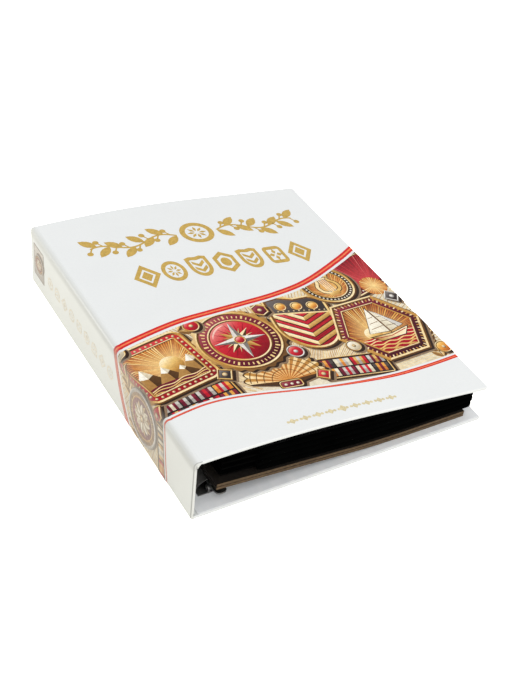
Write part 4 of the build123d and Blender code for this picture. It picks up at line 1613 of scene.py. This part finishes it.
BAND_TOP = ((-58, 89), (-50, 96), (-30, 108), (-4, 117.3), (20, 123), (46, 127.8), (72, 129.8), (99, 132.1),
            (127, 135.8), (160, 144.9), (203, 166.2), (226, 180))
BAND_FOOT = ((-58, 32.8), (-50, 34.4), (-30, 37.8), (-4, 41.2), (11, 43.5), (25, 44.9), (41, 44.2),
             (61, 41.0), (87, 35.9), (114, 31.9), (139, 30.2), (165, 30.0), (194, 32.6), (226, 37.2))
TOP_LINE = 5.0
FOOT_LINE = 1.5
FOOT_LINE_END = 3.0
FOOT_LINE_GROWS_FROM = 90
FOOT_LINE_GROWS_OVER = 90
ORANGE_SHARE = 0.27
LINE_PITCH = 2.0
TOP_GAP = 2.2
FOOT_GAP = 1.8
PICTURE_START = -57.0
LINE_END = 225.0


def height_on(line, s):
    """The height of a smooth line through chosen points at a place s."""
    i = max(k for k in range(len(line) - 1) if k == 0 or line[k][0] <= s)
    before, start, end, after = (line[min(max(k, 0), len(line) - 1)] for k in (i - 1, i, i + 1, i + 2))
    run = end[0] - start[0]
    leaving = (end[1] - before[1]) / (end[0] - before[0]) * run
    arriving = (after[1] - start[1]) / (after[0] - start[0]) * run
    t = (s - start[0]) / run
    return (start[1] * (2 * t ** 3 - 3 * t ** 2 + 1) + leaving * (t ** 3 - 2 * t ** 2 + t)
            + end[1] * (3 * t ** 2 - 2 * t ** 3) + arriving * (t ** 3 - t ** 2))


def beside(line, s, distance):
    """The height of a place beside a line, at a distance square to it."""
    slope = height_on(line, s + 0.5) - height_on(line, s - 0.5)
    return height_on(line, s) + distance * hypot(1, slope)


def foot_width(s):
    """The foot line is thin round the spine and grows towards the fore edge."""
    grown = ease((s - FOOT_LINE_GROWS_FROM) / FOOT_LINE_GROWS_OVER)
    return FOOT_LINE + (FOOT_LINE_END - FOOT_LINE) * grown


def frame_lines():
    """The red and orange lines along the picture and at its end round the spine."""
    places = row_places(PICTURE_START, LINE_END, LINE_PITCH)
    for line, width in ((BAND_TOP, lambda s: TOP_LINE), (BAND_FOOT, foot_width)):
        for share, ink in ((1.0, LINE_RED), (ORANGE_SHARE, LINE_ORANGE)):
            low, high = ([(s, beside(line, s, side * share / 2 * width(s)), *ink) for s in places]
                         for side in (-1, 1))
            ORNAMENT.lay([list(face) for face in zip(low, low[1:], high[1:], high)])
    ends = [(PICTURE_START, height_on(line, PICTURE_START)) for line in (BAND_FOOT, BAND_TOP)]
    stroke(ORNAMENT, ends, FOOT_LINE, LINE_RED)


# Gold ornament

def ring_faces(outline, width, ink):
    """A flat ring along an outline."""
    inner = inset(outline, width)
    return [one_ink((outline[i - 1], outline[i], inner[i], inner[i - 1]), ink) for i in range(len(outline))]


def solid_faces(outline, ink):
    """A flat star-shaped outline as a fan about its middle."""
    return [one_ink(((0.0, 0.0), outline[i - 1], outline[i]), ink) for i in range(len(outline))]


def petals(count, near, far):
    """Four-cornered petals round a middle."""
    half = pi / count
    middle = (near + far) / 2
    found = []
    for i in range(count):
        angle = 2 * half * i
        found.append([polar(near, angle), polar(middle, angle - half * 0.7),
                      polar(far, angle), polar(middle, angle + half * 0.7)])
    return found


def emblem_faces(kind, reach, ink, wide=1.0, tall=1.0):
    """One of a set of plain pin emblems: a bold ring with something simple inside."""
    if kind == "round":
        outline = circle(reach, 40)
        inner = petals(8, reach * 0.12, reach * 0.60)
    elif kind == "lozenge":
        outline = even_sides(4, reach * 1.16)
        inner = [even_sides(4, reach * 0.5)]
    elif kind == "shield":
        outline = shield_outline(reach * 1.9, reach * 2.05)
        inner = [left_turning([(0.0, low * reach), (side * 0.52 * reach, (low + 0.36) * reach),
                               (side * 0.52 * reach, (low + 0.66) * reach), (0.0, (low + 0.30) * reach)])
                 for low in (-0.62, -0.08) for side in (-1, 1)]
    elif kind == "hexagon":
        outline = even_sides(6, reach * 1.08, 30)
        inner = [circle(reach * 0.44, 24)]
    else:
        outline = rounded_box(reach * 1.76, reach * 1.76, reach * 0.4)
        inner = petals(4, reach * 0.08, reach * 0.62)
    faces = ring_faces(outline, reach * 0.32, ink) + [one_ink(shape, ink) for shape in inner]
    return [[(x * wide, y * tall, *rest) for x, y, *rest in face] for face in faces]


def garland(pen, side, length, ink):
    """A wavy stem with leaves and berries either side, running out from a rosette."""
    def on_stem(x):
        return (side * (17 + x), 4.4 * sin(x * 0.125))

    along = 90 - side * 90
    stem = [on_stem(x) for x in range(0, length + 1, 3)]
    stroke(pen, stem if side > 0 else stem[::-1], 1.7, ink)
    faces = []
    for i in range(0, length - 3, 9):
        up = 1 if (i // 9) % 2 else -1
        twig = pen.moved(*on_stem(i), turn=along + side * up * 44)
        faces += twig.placed(leaf_faces(twig, 15.5, 7.2, (ink, ink)))
        twig = pen.moved(*on_stem(i + 4.5), turn=along - side * up * 60)
        faces += twig.placed(line_faces([(0, 0), (5, 0)], 1.2, ink))
        berry = twig.moved(7, 0)
        faces += berry.placed(solid_faces(circle(2.4, 14), ink))
    pen.sheet.lay(faces)


def cover_ornament():
    """Gold ornament in two rows over the picture, and a fine row of dots at the tail."""
    top = Pen(ORNAMENT, 109.5, 224)
    top.lay(emblem_faces("round", 13.5, COVER_GOLD))
    for side in (-1, 1):
        garland(top, side, 71, COVER_GOLD)
    for i, kind in enumerate(("lozenge", "round", "shield", "hexagon", "shield", "square", "lozenge")):
        pen = Pen(ORNAMENT, 113 + (i - 3) * 21.4, 182.5)
        pen.lay(emblem_faces(kind, 10.6, COVER_GOLD, wide=0.86, tall=1.18))
    fine = []
    for i in range(-13, 14):
        dot = Pen(ORNAMENT, 107.5 + i * 3.2, 10.2)
        outline = even_sides(4, 3.2 if i == 0 else 2.5) if i % 3 == 0 else circle(1.1, 10)
        fine += dot.placed(solid_faces(outline, SMALL_GOLD))
    ORNAMENT.lay(fine)


def spine_ornament():
    """A faint gold row of emblems up the spine, and a small framed picture near its head."""
    middle = -31.0
    kinds = ("round", "lozenge", "shield", "hexagon", "square")
    for i in range(9):
        pen = Pen(ORNAMENT, middle, 124 + i * 13.5, turn=90)
        pen.lay(emblem_faces(kinds[i % len(kinds)], 5.2, SPINE_GOLD))
    panel = Pen(ORNAMENT, middle + 3.0, 254.5)
    outline = rounded_box(28, 20, 1, 2)
    fill(panel, outline, plain(SPINE_FRAME))
    fill(panel, inset(outline, 1.2), lambda x, y: tone(SILVER, 0.60 + 0.012 * x))
    flower_medal(panel.moved(-1, 0, size=0.40))


# The print's panels, in millimetres as the print is. It runs round the fore edge and down its flat face

COVER_LENGTH = (FORE_X - COVER_X) / MM
EDGE_RUN = COVER_LENGTH - BOARD_ROUND / MM
EDGE_TURN = pi / 2 * BOARD_ROUND / MM
EDGE_FACE = 1.9
JOINT_RUN = JOINT_LENGTH / MM
SPINE_END = -JOINT_RUN - SPINE_LENGTH / MM

# How far the inks are greyed round the spine, as faded print and painted shade, and darkened by painted shade
# on a fold
FADE_AND_SHADE_START = -2.0
FADE_AND_SHADE_RUN = 7.0
FADE_AND_SHADE_SHARE = 0.52
FOLD_INK_SHADE = 0.17


def row_places(start, end, pitch):
    """The ends of a panel and the even rows between them."""
    return [start] + steps(start, end, pitch) + [end]


def fade_and_shade(point):
    """Inks greyed round the joint and over the spine, as faded print and painted shade, and darkened by
    painted shade on the fold.
    """
    share = FADE_AND_SHADE_SHARE * min(1.0, max(0.0, (FADE_AND_SHADE_START - point[0]) / FADE_AND_SHADE_RUN))
    light = 1 - FOLD_INK_SHADE * fold_shade(-point[0] * MM)
    return (*point[:2], *((ink + (pale - ink) * share) * light for ink, pale in zip(point[2:], SPINE_FADE_AND_SHADE)))


def panel_faces(sheet, places, clipped):
    """A sheet's faces cut to one panel's rows, and to the picture's edges where they are clipped."""
    found = []
    tops = [beside(BAND_TOP, s, -TOP_LINE / 2 - TOP_GAP) for s in places]
    feet = [beside(BAND_FOOT, s, foot_width(s) / 2 + FOOT_GAP) for s in places]
    for level, face in sheet.faces:
        low = min(point[0] for point in face)
        high = max(point[0] for point in face)
        for k in range(len(places) - 1):
            start, end = places[k], places[k + 1]
            if end <= low or start >= high:
                continue
            part = cut(cut(face, 1, 0, end), -1, 0, -start)
            if clipped:
                for side, line in ((1, tops), (-1, feet)):
                    slope = (line[k + 1] - line[k]) / (end - start)
                    part = cut(part, -side * slope, side, side * (line[k] - slope * start))
            if len(part) > 2:
                found.append((level, [fade_and_shade(point) for point in part]))
    return found


def print_panel(name, places):
    """One panel's print as a piece: each face at its layer's height above the paper."""
    in_picture = [place for place in places if place > PICTURE_START]
    found = panel_faces(PICTURE, in_picture, True) + panel_faces(ORNAMENT, places, False)
    points, faces, normals, inks = [], [], [], []
    for level, face in found:
        lift = INK_LIFT + INK_STEP * level
        first = len(points)
        for s, y, *ink in face:
            place = wrap_point(s * MM, y * MM - HALF_HEIGHT, -lift)
            points.append(place)
            normals.append((wrap_point(s * MM, y * MM - HALF_HEIGHT, -lift - MM) - place).normalized())
            inks += (*ink, 1.0)
        faces.append(range(first, len(points)))
    mesh = bpy.data.meshes.new(name)
    mesh.from_pydata(points, [], faces)
    mesh.color_attributes.new("ink", "FLOAT_COLOR", "CORNER").data.foreach_set("color", inks)
    mesh.shade_smooth()
    mesh.normals_split_custom_set(normals)
    mesh.materials.append(PRINT)
    piece = bpy.data.objects.new(name, mesh)
    bpy.context.scene.collection.objects.link(piece)
    return piece


# The pieces, then their print

front_cover()
back_cover()
spine()
lining("front_lining", "front_liner", "front_cover")
lining("back_lining", "back_liner", "back_cover")
for number in range(1, PAGE_COUNT + 1):
    page_pad(number)
joint_paper("front_joint_paper", 0.0, "front_joint")
joint_paper("back_joint_paper", JOINT_LENGTH + SPINE_LENGTH, "back_joint")
corner_lining()

for number in range(1, RING_COUNT + 1):
    ring_wire(number, 1)
    ring_wire(number, -1)

PICTURE = InkSheet()
ORNAMENT = InkSheet()
picture()
frame_lines()
cover_ornament()
spine_ornament()
round_rows = [EDGE_RUN + i / ROUND_STEPS * EDGE_TURN for i in range(ROUND_STEPS + 1)]
cover_rows = row_places(0.0, COVER_LENGTH, ROW_MM)[:-1] + round_rows + [round_rows[-1] + EDGE_FACE]
cover_print = print_panel("cover_picture", cover_rows)
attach(cover_print, "front_cover")
front_joint_print = print_panel("front_joint_picture", row_places(-JOINT_RUN, 0.0, FOLD_ROW_MM))
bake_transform(front_joint_print)
spine_print = print_panel("spine_picture", row_places(SPINE_END, -JOINT_RUN, ROW_MM))
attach(spine_print, "spine")
back_joint_rows = row_places(SPINE_END - JOINT_RUN, SPINE_END, FOLD_ROW_MM)
back_joint_print = print_panel("back_joint_picture", back_joint_rows)
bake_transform(back_joint_print)

# Finishes of the frame's own nodes
for node, piece in frame["nodes"].items():
    if node.endswith("_liner"):
        finish = LINER
    elif node.startswith("kraft"):
        finish = KRAFT
    elif node.startswith("page_strip"):
        finish = STRIP
    elif node.startswith("page_panel"):
        finish = VELOUR
    elif node.endswith(("_board", "_wrap", "_joint")):
        finish = WHITE_PAPER
    else:
        finish = NICKEL
    for slot in piece.material_slots:
        slot.material = finish


# Stage, light and camera

FLOOR_SIZE = 12
FLOOR_GAP = 0.3 * MM
CONTACT_REACH = 2 * MM
WHITE = (1.0, 1.0, 1.0, 1.0)


def floor():
    """A wide floor, pure white from above and clear from below. Light still reaches what lies flat on it."""
    deselect()
    bpy.ops.mesh.primitive_plane_add(size=FLOOR_SIZE, location=(0, 0, -FLOOR_GAP))
    piece = name_piece("studio_floor")
    material, tree, shader = new_material("studio_floor", Roughness=0.9, Specular_IOR_Level=0.0)
    set_values(shader, {"Base_Color": (0.90, 0.88, 0.81, 1.0), "Emission_Color": WHITE})
    seen = tree.nodes.new("ShaderNodeLightPath")
    link(tree, seen, "Is Camera Ray", shader, "Emission Strength")
    side = tree.nodes.new("ShaderNodeNewGeometry")
    near_side = math_node(tree, "SUBTRACT", 1.0, (side, "Backfacing"))
    lit_below = math_node(tree, "GREATER_THAN", (seen, "Ray Length"), CONTACT_REACH)
    link(tree, math_node(tree, "MULTIPLY", (near_side, 0), (lit_below, 0)), 0, shader, "Alpha")
    piece.data.materials.append(material)


def world():
    """Even white studio light from all round."""
    studio = bpy.data.worlds.new("studio")
    studio.use_nodes = True
    set_values(studio.node_tree.nodes["Background"], {"Color": WHITE, "Strength": 1.0})
    bpy.context.scene.world = studio


def soft_light(name, place, size, power, colour, glint=1.0):
    """A large soft light that looks at the album."""
    light = bpy.data.lights.new(name, "AREA")
    light.specular_factor = glint
    light.size = size
    light.energy = power
    light.color = colour
    lamp = bpy.data.objects.new(name, light)
    bpy.context.scene.collection.objects.link(lamp)
    lamp.location = place
    lamp.rotation_euler = (-lamp.location).to_track_quat("-Z", "Y").to_euler()


def camera():
    """The photograph's camera."""
    azimuth, elevation, roll = CAMERA_AZIMUTH, CAMERA_ELEVATION, CAMERA_ROLL
    back = Vector((sin(azimuth) * cos(elevation), -cos(azimuth) * cos(elevation), sin(elevation)))
    right = (-back).cross(ALONG_Z).normalized()
    up = right.cross(-back)
    turned_right = right * cos(roll) + up * sin(roll)
    turned_up = up * cos(roll) - right * sin(roll)
    lens = bpy.data.cameras.new("photo_camera")
    lens.sensor_width = SENSOR_MM
    lens.lens = FOCAL_PX * SENSOR_MM / PHOTO_HEIGHT_PX
    lens.clip_start = 0.01
    holder = bpy.data.objects.new("photo_camera", lens)
    bpy.context.scene.collection.objects.link(holder)
    place = CAMERA_TARGET + back * CAMERA_DISTANCE
    matrix = holder.matrix_world.copy()
    for column, axis in enumerate((turned_right, turned_up, back, place)):
        for row in range(3):
            matrix[row][column] = axis[row]
    holder.matrix_world = matrix
    bpy.context.scene.camera = holder


floor()
world()
soft_light("head_light", (-0.55, 0.40, 0.06), 0.3, 1.05, (1.0, 0.98, 0.93), glint=0.0)
soft_light("tail_light", (0.25, -1.1, 0.35), 0.8, 3.0, (1.0, 0.98, 0.95))
camera()
bpy.context.scene.view_settings.view_transform = "Standard"
